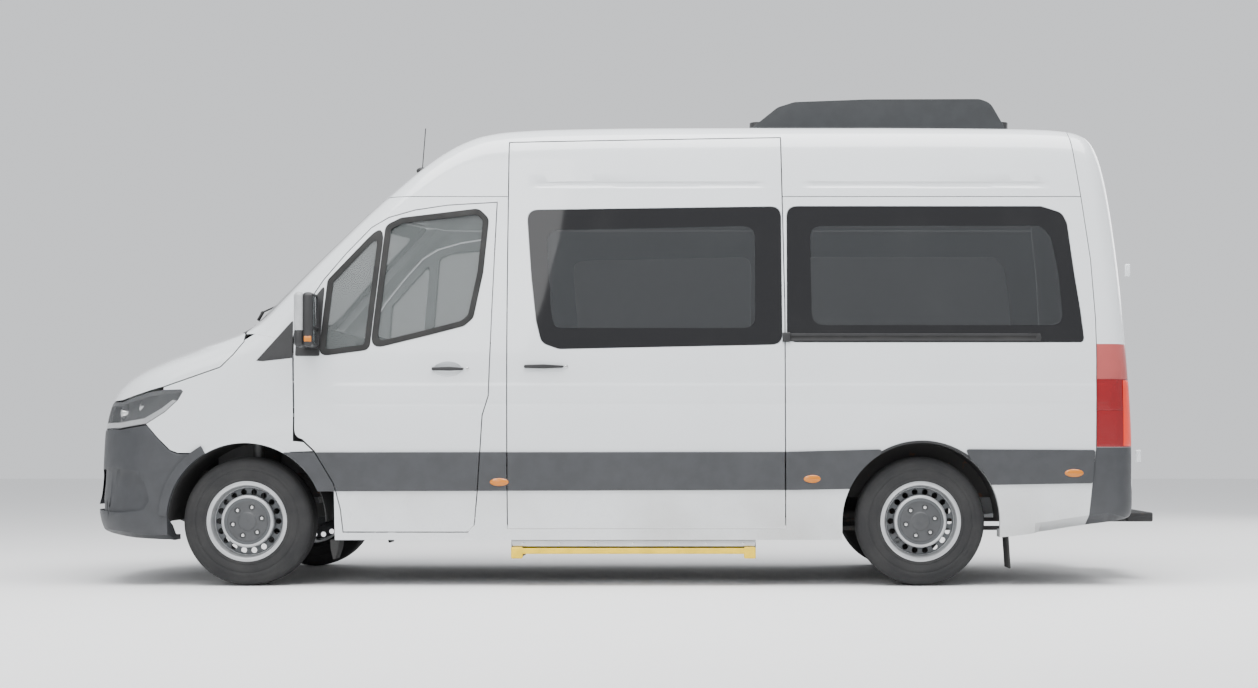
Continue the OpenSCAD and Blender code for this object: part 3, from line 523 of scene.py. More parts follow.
# ---------------------------------------------------------------- the body's surface
def curve_through(xs, ys):
    """A smooth curve through the given points that keeps their rises and falls."""
    xs = np.asarray(xs, float)
    ys = np.asarray(ys, float)
    h = np.diff(xs)
    d = np.diff(ys) / h
    m = np.zeros(len(xs))
    m[0], m[-1] = d[0], d[-1]
    for k in range(1, len(xs) - 1):
        if d[k - 1] * d[k] > 0:
            w1 = 2 * h[k] + h[k - 1]
            w2 = h[k] + 2 * h[k - 1]
            m[k] = (w1 + w2) / (w1 / d[k - 1] + w2 / d[k])

    def value(x):
        x = np.clip(x, xs[0], xs[-1])
        k = np.clip(np.searchsorted(xs, x, side="right") - 1, 0, len(h) - 1)
        t = (x - xs[k]) / h[k]
        return ((1 + 2 * t) * (1 - t) ** 2 * ys[k] + t * (1 - t) ** 2 * h[k] * m[k]
                + t ** 2 * (3 - 2 * t) * ys[k + 1] + t ** 2 * (t - 1) * h[k] * m[k + 1])
    return value


# from nose to tail: distance, underside, top, crown, bow, edge radius
ROWS = np.array([
    [-998, 392, 440, 2, 230, 30], [-990, 352, 470, 2, 230, 40], [-980, 322, 560, 2, 230, 50],
    [-974, 308, 700, 3, 230, 55], [-966, 298, 830, 4, 230, 60], [-950, 290, 925, 6, 230, 65],
    [-925, 280, 1000, 10, 230, 75], [-885, 270, 1062, 16, 228, 85], [-820, 258, 1124, 22, 225, 90],
    [-740, 250, 1172, 28, 220, 95], [-600, 244, 1233, 34, 212, 100], [-440, 244, 1290, 36, 206, 100],
    [-290, 246, 1340, 34, 204, 95], [-190, 249, 1382, 28, 206, 85], [-130, 250, 1424, 20, 220, 75],
    [-33, 251, 1527, 14, 236, 70], [147, 252, 1713, 12, 240, 70], [327, 252, 1888, 12, 240, 70],
    [507, 252, 2056, 13, 236, 74], [690, 252, 2208, 18, 222, 84], [810, 252, 2296, 24, 200, 96],
    [940, 252, 2376, 32, 165, 110], [1080, 252, 2441, 38, 115, 125], [1230, 252, 2487, 42, 60, 138],
    [1400, 252, 2512, 45, 18, 148], [1680, 252, 2526, 45, 0, 150], [2200, 252, 2534, 45, 0, 150],
    [2800, 252, 2536, 45, 0, 150], [3400, 252, 2536, 45, 0, 150], [3950, 258, 2533, 45, 0, 150],
    [4330, 292, 2526, 44, -12, 148], [4510, 318, 2512, 40, -30, 140], [4600, 330, 2485, 34, -42, 125],
    [4650, 336, 2445, 28, -50, 110], [4690, 340, 2375, 22, -55, 100], [4730, 345, 2240, 14, -60, 90],
    [4771, 350, 1990, 10, -60, 80], [4805, 356, 1700, 8, -60, 70], [4838, 364, 1340, 6, -60, 60],
    [4860, 376, 1030, 4, -60, 50], [4872, 400, 780, 3, -60, 40], [4876, 440, 560, 2, -60, 30]], float)
FLANK = [[240, 978], [420, 995], [620, 1005], [900, 1010], [1150, 1004], [1400, 986], [1700, 953],
         [2000, 912], [2300, 868], [2536, 830]]
NOSE_R = 220.0
TAIL_R = 110.0
flank = curve_through([f[0] for f in FLANK], [f[1] for f in FLANK])
row_at = [curve_through(ROWS[:, 0], ROWS[:, k]) for k in range(1, 6)]
nose_high = curve_through(ROWS[:12, 2], ROWS[:12, 0])
nose_low = curve_through(ROWS[:11, 1][::-1], ROWS[:11, 0][::-1])
tail_high = curve_through(ROWS[30:, 2][::-1], ROWS[30:, 0][::-1])
tail_low = curve_through(ROWS[30:, 1], ROWS[30:, 0])


def stations(pace):
    """Places along the body, closer where its top line is steep."""
    made = [ROWS[0, 0]]
    for a, b in zip(ROWS[:-1], ROWS[1:]):
        parts = max(1, int(round(math.hypot(b[0] - a[0], b[2] - a[2]) / pace)))
        made += [a[0] + (b[0] - a[0]) * k / parts for k in range(1, parts + 1)]
    return np.array(made)


def corner(radius, depth):
    inside = np.clip(radius - np.maximum(depth, 0), 0, None)
    return np.where(depth >= radius, 0.0, radius - np.sqrt(np.maximum(0, radius ** 2 - inside ** 2)))


LOW_SPLIT = 1130.0
MAIN_SHOULDER = 2386.0
GROOVES = ((1549, 2803), (3044, 4338))    # lengthwise reach of the grooves pressed above the windows


def ease(x):
    x = np.clip(x, 0, 1)
    return x * x * (3 - 2 * x)


def relief(u, z):
    """How far pressed lines push the side out, in millimetres."""
    made = -3.0 * ease((z - 1092) / 10.0) * ease((u - 150) / 200.0) * ease((1200 - z) / 80.0)
    made = made - 1.6 * np.exp(-((z - 990) / 9.0) ** 2) * ease((u + 300) / 200.0)
    for centre, reach, push in ((0.0, 575.0, 7.0), (WHEELBASE, 640.0, 11.0)):
        away = np.sqrt((u - centre) ** 2 + (z - AXLE_Z) ** 2)
        made = made + push * ease((reach - away) / 95.0) * ease((z - 430) / 120.0)
    for start, end in GROOVES:
        made = made - 7.0 * ease((z - 2176) / 9.0) * ease((2214 - z) / 9.0) * ease((u - start) / 12.0) \
            * ease((end - u) / 12.0)
    return made


def body_surface(fine):
    """The closed surface as rows of points round the body, in millimetres."""
    pace = 36.0 if fine else 90.0
    u = stations(pace)
    low, high, crown, bow, edge = [f(u) for f in row_at]
    slope = np.gradient(high, u)
    level = 1 / np.sqrt(1 + slope ** 2)
    shoulder = np.maximum(low + 0.3 * (high - low), high - edge / level)
    if fine:
        below = np.concatenate([np.arange(252, 960, 60), [975, 983, 990, 997, 1005, 1030, 1060],
                                [1084, 1092, 1097, 1102, 1110, 1130]])
        above = np.concatenate([np.arange(1180, 2160, 65),
                                [2172, 2176, 2181, 2186, 2195, 2204, 2209, 2214, 2220],
                                np.arange(2270, 2386, 58), [2386]])
        corner_n, top_n, low_n = 10, 12, 3
    else:
        below = np.linspace(252, 1130, 6)
        above = np.linspace(1330, 2386, 6)
        corner_n, top_n, low_n = 5, 6, 3
    split = np.minimum(LOW_SPLIT, low + 0.6 * (shoulder - low))
    t_low = (below - 252) / (LOW_SPLIT - 252)
    t_high = (above - LOW_SPLIT) / (MAIN_SHOULDER - LOW_SPLIT)
    z_low = low[:, None] + (split - low)[:, None] * t_low[None, :]
    z_high = split[:, None] + (shoulder - split)[:, None] * t_high[None, :]
    angle = np.radians(90.0 * np.arange(1, corner_n + 1) / corner_n)
    z_corner = shoulder[:, None] + (high - shoulder)[:, None] * np.sin(angle)[None, :]
    z_side = np.concatenate([z_low, z_high, z_corner], axis=1)

    def half_width(z):
        nose = np.where(z > ROWS[0, 2], nose_high(z), nose_low(z))
        tail = np.where(z > ROWS[-1, 2], tail_high(z), tail_low(z))
        cut = np.maximum(corner(edge[:, None], (high[:, None] - z) * level[:, None]),
                         corner(NOSE_R, u[:, None] - nose))
        return flank(z) - np.maximum(cut, corner(TAIL_R, tail - u[:, None]))

    y_side = half_width(z_side)
    if fine:
        y_side = y_side + relief(u[:, None], z_side)
    y_low = y_side[:, :1] * np.linspace(0, 1, low_n, endpoint=False)[None, :]
    z_under = np.repeat(z_side[:, :1], low_n, axis=1)
    share = 1 - np.arange(1, top_n + 1) / top_n
    y_top = y_side[:, -1:] * share[None, :]
    z_top = high[:, None] + crown[:, None] * (1 - share[None, :] ** 2)
    z_half = np.concatenate([z_under, z_side, z_top], axis=1)
    y_half = np.concatenate([y_low, y_side, y_top], axis=1)
    y = np.concatenate([y_half, -y_half[:, -2:0:-1]], axis=1)
    z = np.concatenate([z_half, z_half[:, -2:0:-1]], axis=1)
    x = u[:, None] + bow[:, None] * (y / 1000.0) ** 2
    return np.stack([x, y, z], axis=2)


SURFACES = {True: body_surface(True), False: body_surface(False)}


def skin(depth, fine=True):
    """The body as one closed solid with its surface moved inwards by depth."""
    grid = SURFACES[fine]
    rows, ring = grid.shape[:2]
    along = np.gradient(grid, axis=0)
    around = np.roll(grid, -1, axis=1) - np.roll(grid, 1, axis=1)
    normal = np.cross(around, along)
    normal /= np.maximum(np.linalg.norm(normal, axis=2, keepdims=True), 1e-9)
    points = grid - depth * normal
    points[0, :, 0] += 0.7 * depth
    points[-1, :, 0] -= 0.7 * depth
    points = (points.reshape(-1, 3) - np.array([MID, 0, 0])) / 1000.0
    j, i = np.meshgrid(np.arange(rows - 1), np.arange(ring), indexing="ij")
    k = (i + 1) % ring
    walls = np.stack([j * ring + i, j * ring + k, (j + 1) * ring + k, (j + 1) * ring + i], axis=2)
    walls = walls.reshape(-1, 4)
    half = ring // 2
    caps = []
    for base, flip in ((0, True), ((rows - 1) * ring, False)):
        for i in range(half):
            other = ring - i
            quad = [base + i, base + i + 1, base + other - 1, base + other % ring]
            quad = list(dict.fromkeys(quad))
            caps.append(quad[::-1] if flip else quad)
    made = from_points("skin", points, walls.tolist() + caps)
    return outward(made, 0.000001)


SKINS = {}


def sheet_in(cutter, outer, inner, fine_inner=False):
    """The part of the sheet between two depths below the surface that lies inside a cutter."""
    for key in ((outer, True), (inner, fine_inner)):
        if key not in SKINS:
            SKINS[key] = skin(*key)
    boolean(cutter, SKINS[(outer, True)], "INTERSECT", keep=True)
    return boolean(cutter, SKINS[(inner, fine_inner)], keep=True)


# ---------------------------------------------------------------- outlines, distance against height
DOOR = [(259, 1354), (260, 1246), (266, 960), (267, 850), (273, 822), (290, 806), (312, 797), (377, 735),
        (482, 559), (515, 417), (527, 295), (1205, 295), (1240, 335), (1262, 560), (1285, 929), (1318, 1035),
        (1354, 2096), (1084, 2080), (907, 2053), (765, 2012), (669, 1955), (540, 1817), (419, 1670),
        (282, 1459)]
MAIN_PANE = [(705, 1318), (989, 1388), (1173, 1436), (1212, 1471), (1260, 1710), (1286, 1997), (1245, 2036),
             (838, 1986), (770, 1952)]
QUARTER_PANE = [(424, 1276), (650, 1306), (716, 1930), (462, 1655)]
SLIDER = [(1414, 2434), (1420, 315), (2930, 315), (2926, 1508), (2906, 2462)]
FRONT_PANE = [(1518, 2052), (1548, 1679), (1576, 1441), (1606, 1322), (1700, 1289), (2911, 1314),
              (2905, 2072)]
REAR_PANE = [(2938, 2073), (4330, 2073), (4442, 2036), (4468, 1980), (4500, 1710), (4531, 1496), (4548, 1344),
             (4538, 1326), (2938, 1326)]
FAR_PANE = [(1518, 2052), (1548, 1679), (1576, 1441), (1606, 1322), (1700, 1289), (2890, 1312),
            (2890, 2072)]
FRONT_CLEAR = [(1625, 1940), (1655, 1500), (1672, 1403), (2764, 1403), (2764, 1965)]
REAR_CLEAR = [(3064, 1965), (3073, 1419), (4440, 1419), (4415, 1700), (4380, 1900), (4330, 1965)]
TAIL_LINE = [(4494, 2700), (4494, 2488), (4546, 2132), (4590, 1781), (4610, 1459), (4613, 1317),
             (4610, 753), (4575, 383), (4570, 0)]
TAIL_SIDE = [(5200, 0), (5200, 3000)] + TAIL_LINE
BONNET_LINE = [(-1150, 1008), (-760, 1008), (-690, 1014), (-514, 1066), (-440, 1086), (-136, 1193),
               (-67, 1262), (-15, 1330), (-15, 1600), (-1150, 1600)]
LAMP = [(-760, 846), (-686, 858), (-534, 881), (-432, 946), (-362, 1011), (-335, 1058), (-346, 1069),
        (-440, 1066), (-514, 1055), (-690, 1002), (-1150, 996), (-1150, 846)]
BUMPER_LINE = [(-1150, 840), (-686, 852), (-534, 875), (-470, 800), (-405, 735), (-362, 719), (0, 719),
               (0, 0), (-1150, 0)]
WING = [(-534, 881), (-470, 806), (-405, 741), (-362, 725), (100, 725), (377, 735), (322, 783), (262, 789),
        (260, 1246), (259, 1354), (198, 1343), (45, 1372), (-22, 1330), (-67, 1255), (-136, 1187),
        (-440, 1080), (-440, 1066), (-346, 1069), (-335, 1058), (-362, 1011), (-432, 946)]
FRONT_CUT = [(-1200, 0), (482, 0), (482, 559), (377, 735), (285, 842), (266, 960), (260, 1246), (259, 1354),
             (198, 1343), (45, 1372), (-60, 1372), (-1200, 1372)]
WINDSCREEN = [(-868, 1452), (868, 1452), (752, 2128), (-752, 2128)]
TAIL_DOORS = [(-886, 560), (886, 560), (838, 1700), (748, 2290), (-748, 2290), (-838, 1700)]
ROOF_JOINT = 2130.0
LAMP_Z = (757.0, 1316.0)
GRILLE_W = 545.0
DOOR_DEPTH = 340.0    # how far in from the side a cut for a front door starts


def arch_cut(side, inner=350.0):
    """Cutters for the two wheel openings on one side."""
    made = []
    for u in (0.0, WHEELBASE):
        shape = circle(u, AXLE_Z, ARCH_R, 64, 0.0, 180.0) + [(u - ARCH_R, -50), (u + ARCH_R, -50)]
        made.append(on_side(shape, side, inner))
    return made


def minus(thing, *cutters):
    for cutter in cutters:
        boolean(thing, cutter)
    return thing


def across(points, low=-1400.0, high=1400.0):
    return slab(points, "side", low, high)


def box_cut(low, high):
    return block(low, high, 0.0)


def flanged(side, points, inner=350.0):
    """A panel with a thin edge flange and a deep core inside it."""
    face = sheet_in(on_side(grown(points, -GAP / 2), side, inner), 0.0, 12.0, True)
    core = sheet_in(on_side(grown(points, -GAP / 2 - 14.0), side, inner), 0.0, WALL)
    return boolean(face, core, "UNION")


def pane_pieces(name, cutter_of, outline, clear, body, stands_for=()):
    """Bonded glass: a black border and a tinted middle, flush with each other."""
    border = sheet_in(cutter_of(rounded(outline, 60.0)), 0.5, 6.0, True)
    minus(border, cutter_of(rounded(clear, 70.0)))
    middle = sheet_in(cutter_of(rounded(grown(clear, -0.4), 70.0)), 0.5, 6.0, True)
    smooth(border)
    smooth(middle)
    piece(border, name + "_border", body, FRIT, stands_for)
    piece(middle, name + "_pane", body, DARK_GLASS, stands_for)


def windscreen_cut(grow=0.0):
    return slab(rounded(grown(WINDSCREEN, grow), 60.0), "end", -400.0, 1200.0)


def rear_cut(points):
    return slab(points, "end", 4400.0, 5150.0)


# ---------------------------------------------------------------- painted panels
def body_side(side):
    whole = [(-300, 240), (4800, 240), (4800, ROOF_JOINT - 4.0), (-300, ROOF_JOINT - 4.0)]
    shape = sheet_in(on_side(whole, side, 500.0), 0.0, WALL)
    minus(shape, box_cut((-700, -860, 0), (5200, 860, 450)), across(FRONT_CUT), across(TAIL_SIDE),
          on_side(grown(DOOR, GAP / 2), side), windscreen_cut(0.3))
    minus(shape, box_cut((-700, -1300, 0), (-8, 1300, 1440)), *arch_cut(side))
    if side == LEFT:
        minus(shape, on_side(grown(SLIDER, GAP / 2), side), on_side(rounded(REAR_CLEAR, 70.0), side))
    else:
        minus(shape, on_side(rounded(FRONT_CLEAR, 70.0), side), on_side(rounded(REAR_CLEAR, 70.0), side))
        minus(shape, sheet_in(on_side(rounded(grown(FAR_PANE, 2.5), 60.0), side), -5.0, 6.6))
    minus(shape, sheet_in(on_side(rounded(grown(REAR_PANE, 2.5), 60.0), side), -5.0, 6.6))
    word = hand_word(side)
    return piece(smooth(shape), word + "_side_panel", "body", WHITE, (word + "_body_side",))


for hand in (LEFT, RIGHT):
    body_side(hand)

roof = sheet_in(across([(-100, ROOF_JOINT), (4800, ROOF_JOINT), (4800, 2700), (-100, 2700)]), 0.0, WALL)
minus(roof, windscreen_cut(0.3), on_side(grown(SLIDER, GAP / 2), LEFT), across(TAIL_SIDE))
piece(smooth(roof), "roof_panel", "body", WHITE, ("roof",))

# the frame round the rear doors
tail_frame = sheet_in(across(grown(TAIL_SIDE, -4.5)), 0.0, WALL)
minus(tail_frame, rear_cut(rounded(grown(TAIL_DOORS, GAP / 2), 50.0)))
lamp_block = box_cut((4400, -1300, LAMP_Z[0] - 0.3), (5200, 1300, LAMP_Z[1] + 0.3))
minus(lamp_block, skin(25.3, False), rear_cut(rounded(grown(TAIL_DOORS, 44.7), 50.0)))
low_block = box_cut((4400, -1300, 0), (5200, 1300, LAMP_Z[0] - 1.2))
minus(low_block, rear_cut(rounded(grown(TAIL_DOORS, 44.7), 50.0)))
minus(tail_frame, lamp_block, low_block)
piece(smooth(tail_frame), "tail_frame_panel", "body", WHITE, ("rear_frame",))

for hand in (LEFT, RIGHT):
    word = hand_word(hand)
    shape = sheet_in(on_side(grown(WING, -0.5), hand, 300.0), 0.0, 5.0, True)
    minus(shape, across(grown(BONNET_LINE, GAP)), on_side(grown(DOOR, GAP), hand), *arch_cut(hand, 200.0))
    piece(smooth(shape), word + "_wing_panel", "body", WHITE, (word + "_wing",))


COWL_BOW = 206.0


def ahead_of(u):
    """Everything in front of the bowed rear edge of the bonnet."""
    line = [(u + COWL_BOW * (y / 1000.0) ** 2, y) for y in range(-1300, 1301, 65)]
    return slab([(-1400, 1300), (-1400, -1300)] + line, "plan", 300.0, 1700.0)


bonnet = sheet_in(across(BONNET_LINE), 0.0, 5.0, True)
boolean(bonnet, ahead_of(-196.0), "INTERSECT")
under = sheet_in(across(grown(BONNET_LINE, -14.0)), 0.0, 20.0)
boolean(under, ahead_of(-214.0), "INTERSECT")
boolean(bonnet, under, "UNION")
piece(smooth(bonnet), "bonnet_panel", "bonnet", WHITE, ("bonnet",))

grille = sheet_in(box_cut((-1150, -GRILLE_W, 694), (-400, GRILLE_W, 1000)), 0.0, 20.0)
for k in range(5):
    z = 742.0 + 46.0 * k
    bar_gap = rounded([(-500, z), (500, z), (500, z + 30), (-500, z + 30)], 12.0)
    minus(grille, sheet_in(slab(bar_gap, "end", -1150.0, -600.0), -3.0, 13.0))
piece(smooth(soften(grille, 1.5, 1)), "grille_bars", "body", BLACK_TRIM, ("grille",))

cowl = sheet_in(box_cut((-400, -850, 1290.5), (400, 850, 1451.5)), 2.0, 20.0)
minus(cowl, ahead_of(-187.0))
for y in (-700.0, 700.0):
    minus(cowl, box_cut((-400, y - 14, 1290), (0, y + 14, 1500)))
for k in range(14):
    y = -620.0 + 95.0 * k
    minus(cowl, box_cut((20, y, 1300), (34, y + 60, 1700)))
piece(smooth(cowl), "cowl_grille", "body", BLACK_TRIM, ("scuttle",))

screen = sheet_in(windscreen_cut(), 0.5, 6.0, True)
border = copied(screen, "border")
clear_screen = [(-800, 1520), (800, 1520), (700, 2062), (-700, 2062)]
boolean(screen, slab(rounded(clear_screen, 60.0), "end", -400.0, 1200.0), "INTERSECT")
minus(border, slab(rounded(clear_screen, 60.0), "end", -400.0, 1200.0))
piece(smooth(screen), "windscreen_pane", "body", CLEAR_GLASS, ("windscreen",))
piece(smooth(border), "windscreen_border", "body", FRIT, ("windscreen",))

# bumpers
bumper = sheet_in(across(grown(BUMPER_LINE, -0.5)), 0.0, 30.0)
minus(bumper, box_cut((-1150, -GRILLE_W - 0.5, 693.5), (-400, GRILLE_W + 0.5, 1800)),
      box_cut((-860, -720, 0), (0, 720, 420)), *arch_cut(LEFT), *arch_cut(RIGHT))
for hand in (LEFT, RIGHT):
    scoop = [(-905, 632), (-700, 636), (-600, 622), (-545, 560), (-520, 470), (-560, 412), (-700, 400),
             (-860, 408), (-905, 470)]
    minus(bumper, sheet_in(on_side(rounded(scoop, 50.0), hand, 500.0), -5.0, 16.0))
mouth = [(-470, 420), (470, 420), (520, 500), (500, 600), (-500, 600), (-520, 500)]
minus(bumper, sheet_in(slab(rounded(mouth, 40.0), "end", -1150.0, -700.0), -5.0, 18.0))
piece(smooth(soften(bumper, 2.5, 2)), "front_bumper_skin", "body", BUMPER,
      ("front_bumper",))
back_bumper = sheet_in(across(grown(TAIL_SIDE, -0.5)), 0.0, WALL)
low_block = box_cut((4400, -1300, 0), (5200, 1300, LAMP_Z[0] - 1.5))
minus(low_block, rear_cut(rounded(grown(TAIL_DOORS, 45.0), 50.0)))
boolean(back_bumper, low_block, "INTERSECT")
minus(back_bumper, box_cut((0, -860, 0), (4801, 860, 500)))
piece(smooth(soften(back_bumper, 2.0, 2)), "rear_bumper_skin", "body", BUMPER,
      ("rear_bumper",))

# ---------------------------------------------------------------- doors and side glass
slider = flanged(LEFT, SLIDER, 450.0)
minus(slider, on_side(rounded(FRONT_CLEAR, 70.0), LEFT))
minus(slider, sheet_in(on_side(rounded(grown(FRONT_PANE, 2.5), 60.0), LEFT), -5.0, 6.6))
piece(smooth(slider), "sliding_door_panel", "body", WHITE, ("sliding_door",))
for side_name, hand, pane, clear in (("left_front", LEFT, FRONT_PANE, FRONT_CLEAR),
                                     ("left_rear", LEFT, REAR_PANE, REAR_CLEAR),
                                     ("right_rear", RIGHT, REAR_PANE, REAR_CLEAR),
                                     ("right_front", RIGHT, FAR_PANE, FRONT_CLEAR)):
    pane_pieces(side_name + "_side_glass", lambda p: on_side(p, hand), pane, clear, "body",
                ("side_windows",))

for hand in (LEFT, RIGHT):
    word = hand_word(hand)
    door = flanged(hand, DOOR)
    minus(door, on_side(rounded(MAIN_PANE, 34.0), hand), on_side(rounded(QUARTER_PANE, 22.0), hand))
    for z in HINGE_Z:
        y_low, y_high = sorted((hand * (HINGE_Y - 180), hand * (HINGE_Y + 12)))
        minus(door, box_cut((0, y_low, z - 17), (313, y_high, z + 17)))
    cup = ball((1098, hand * 1006, 1180), (78, 24, 42))
    minus(door, cup)
    piece(smooth(door), word + "_front_door_panel", word + "_front_door", WHITE,
          (word + "_front_door",))
    seal = sheet_in(on_side(rounded(grown(MAIN_PANE, 25.0), 55.0), hand), -2.5, 8.0, True)
    minus(seal, on_side(rounded(grown(MAIN_PANE, -7.0), 34.0), hand))
    more = sheet_in(on_side(rounded(grown(QUARTER_PANE, 25.0), 45.0), hand), -2.5, 8.0, True)
    minus(more, on_side(rounded(grown(QUARTER_PANE, -7.0), 20.0), hand))
    boolean(seal, more, "UNION")
    piece(smooth(soften(seal, 1.5, 2)), word + "_window_seal", word + "_front_door", SEAL)
    for tag, outline_ in (("main", MAIN_PANE), ("quarter", QUARTER_PANE)):
        pane = sheet_in(on_side(rounded(grown(outline_, -0.5), 30.0), hand), 8.2, 13.0, True)
        piece(smooth(pane), word + "_door_" + tag + "_pane", word + "_front_door", CLEAR_GLASS,
              (word + "_door_window",))
    tail = sheet_in(rear_cut(grown(rounded(TAIL_DOORS, 50.0), -GAP / 2)), 0.0, 12.0, True)
    core = sheet_in(rear_cut(grown(rounded(TAIL_DOORS, 50.0), -GAP / 2 - 12)), 0.0, WALL)
    low_y, high_y = (-1300.0, -GAP / 2) if hand == LEFT else (GAP / 2, 1300.0)
    boolean(tail, box_cut((4300, low_y, 400), (5200, high_y, 2700)), "INTERSECT")
    low_y, high_y = (-1300.0, -GAP / 2 - 12) if hand == LEFT else (GAP / 2 + 12, 1300.0)
    boolean(core, box_cut((4300, low_y, 400), (5200, high_y, 2700)), "INTERSECT")
    boolean(tail, core, "UNION")
    pane_line = [(hand * y, z) for y, z in ((150, 1380), (742, 1380), (700, 2010), (150, 2010))]
    clear_line = grown(pane_line, -45.0)
    minus(tail, rear_cut(rounded(clear_line, 50.0)))
    minus(tail, sheet_in(rear_cut(rounded(grown(pane_line, 2.5), 50.0)), -5.0, 6.6))
    press = [(hand * y, z) for y, z in ((120, 700), (800, 700), (790, 1290), (120, 1290))]
    minus(tail, sheet_in(rear_cut(rounded(press, 60.0)), -5.0, 5.0))
    piece(smooth(soften(tail, 2.0, 2)), word + "_rear_door_panel", word + "_rear_door", WHITE,
          (word + "_rear_door",))
    pane_pieces(word + "_rear_door_glass", rear_cut, pane_line, clear_line, word + "_rear_door",
                (word + "_rear_window",))

# ---------------------------------------------------------------- lamps
lamp_line = grown(LAMP, -0.5)
for hand in (LEFT, RIGHT):
    word = hand_word(hand)
    low_y, high_y = sorted((hand * (GRILLE_W + 0.5), hand * 1300.0))

    def lamp_sheet(points, outer, inner, fine=False):
        made = sheet_in(slab(points, "side", low_y, high_y), outer, inner, fine)
        return minus(made, across(grown(BONNET_LINE, GAP)))

    lens = lamp_sheet(lamp_line, 0.0, 4.0, True)
    piece(smooth(lens), word + "_headlamp_lens", "body", LENS, ("headlamps",))
    bowl = lamp_sheet(grown(LAMP, -5.0), 70.0, 76.0)
    rim_wall = lamp_sheet(lamp_line, 5.0, 74.0)
    inner_cut = slab(grown(LAMP, -5.0), "side", -1400.0, 1400.0)
    minus(rim_wall, inner_cut)
    piece(smooth(joined(bowl, rim_wall)), word + "_headlamp_housing", "body", BLACK_TRIM,
          ("headlamps",))
    brow = lamp_sheet([(-1150, 980), (-700, 980), (-520, 1030), (-400, 1048), (-330, 1058), (-346, 1070),
                       (-440, 1067), (-514, 1056), (-690, 1003), (-1150, 997)], 5.0, 9.0, True)
    piece(smooth(brow), word + "_headlamp_brow", "body", BLACK_TRIM)
    sweep = lamp_sheet([(-1150, 850), (-690, 862), (-536, 885), (-434, 950), (-372, 1008), (-392, 1012),
                        (-452, 966), (-546, 912), (-690, 890), (-1150, 878)], 5.0, 10.0, True)
    piece(smooth(sweep), word + "_headlamp_light_bar", "body", CHROME)
    for k, (u, y, z, r) in enumerate(((-560, 868, 972, 54), (-700, 800, 944, 50))):
        bowl_turn = Matrix.Rotation(math.radians(hand * (38 if k == 0 else 16)), 4, "Z")
        cup = turned([(4, 42), (18, 40), (34, 30), (46, 14), (r, -6), (r + 4, -6), (r + 4, -2), (r + 1, 0),
                      (48, 18), (36, 35), (20, 46), (4, 48)], (MID, 0, 0), 1.0, 48)
        face = Matrix.Rotation(math.radians(90), 4, "Z")
        cup.data.transform(Matrix.Translation(Vector(pt(u, hand * y, z))) @ bowl_turn @ face.inverted())
        piece(smooth(cup), word + "_headlamp_reflector_" + str(k + 1), "body", CHROME)
        eye = ball((u - 6, hand * y, z), (24, 24, 24), 24, 16)
        piece(smooth(eye), word + "_headlamp_bulb_" + str(k + 1), "body",
              HALOGEN if k == 0 else LENS_BALL)


def tail_lamp(side):
    word = hand_word(side)
    low, high = LAMP_Z
    parts = (("upper", PINK_LENS, high - 190.0, high), ("middle", RED_LENS, low + 200.0, high - 191.0),
             ("lower", RED_LENS, low, low + 199.0))
    for tag, lens_kind, z0, z1 in parts:
        y0, y1 = sorted((side * 300.0, side * 1300.0))
        zone = box_cut((4400, y0, z0), (5200, y1, z1))
        boolean(zone, across(grown(TAIL_SIDE, -4.5)), "INTERSECT")
        minus(zone, rear_cut(rounded(grown(TAIL_DOORS, 45.0), 50.0)))
        lens = sheet_in(zone, 0.0, 25.0)
        lens = soften(lens, 3.0, 3)
        piece(smooth(lens), word + "_tail_lamp_" + tag, "body", lens_kind, ("tail_lamps",))
    y0, y1 = sorted((side * 300.0, side * 1300.0))
    strip = box_cut((4762, y0, low + 6), (5200, y1, high - 196.0))
    minus(strip, rear_cut(rounded(grown(TAIL_DOORS, 52.0), 50.0)))
    strip = sheet_in(strip, -2.0, 5.0)
    piece(smooth(soften(strip, 1.2, 2)), word + "_tail_lamp_strip", "body", HOT_LENS)


for hand in (LEFT, RIGHT):
    tail_lamp(hand)


def marker(name, u, z, side):
    """A small oval lamp bedded in a black rim on the side."""
    y = side * (float(flank(z)) + 4.0)
    rim = ball((u, y, z), (61, 9, 31), 40, 16)
    piece(smooth(rim), name + "_rim", "body", BLACK_TRIM)
    lens = ball((u, y, z), (54, 15, 24), 40, 16)
    piece(smooth(lens), name, "body", AMBER)


for hand in (LEFT, RIGHT):
    for tag, u, z in (("front", 1378, 567), ("middle", 3078, 584), ("rear", 4491, 616)):
        marker(hand_word(hand) + "_marker_" + tag, u, z, hand)

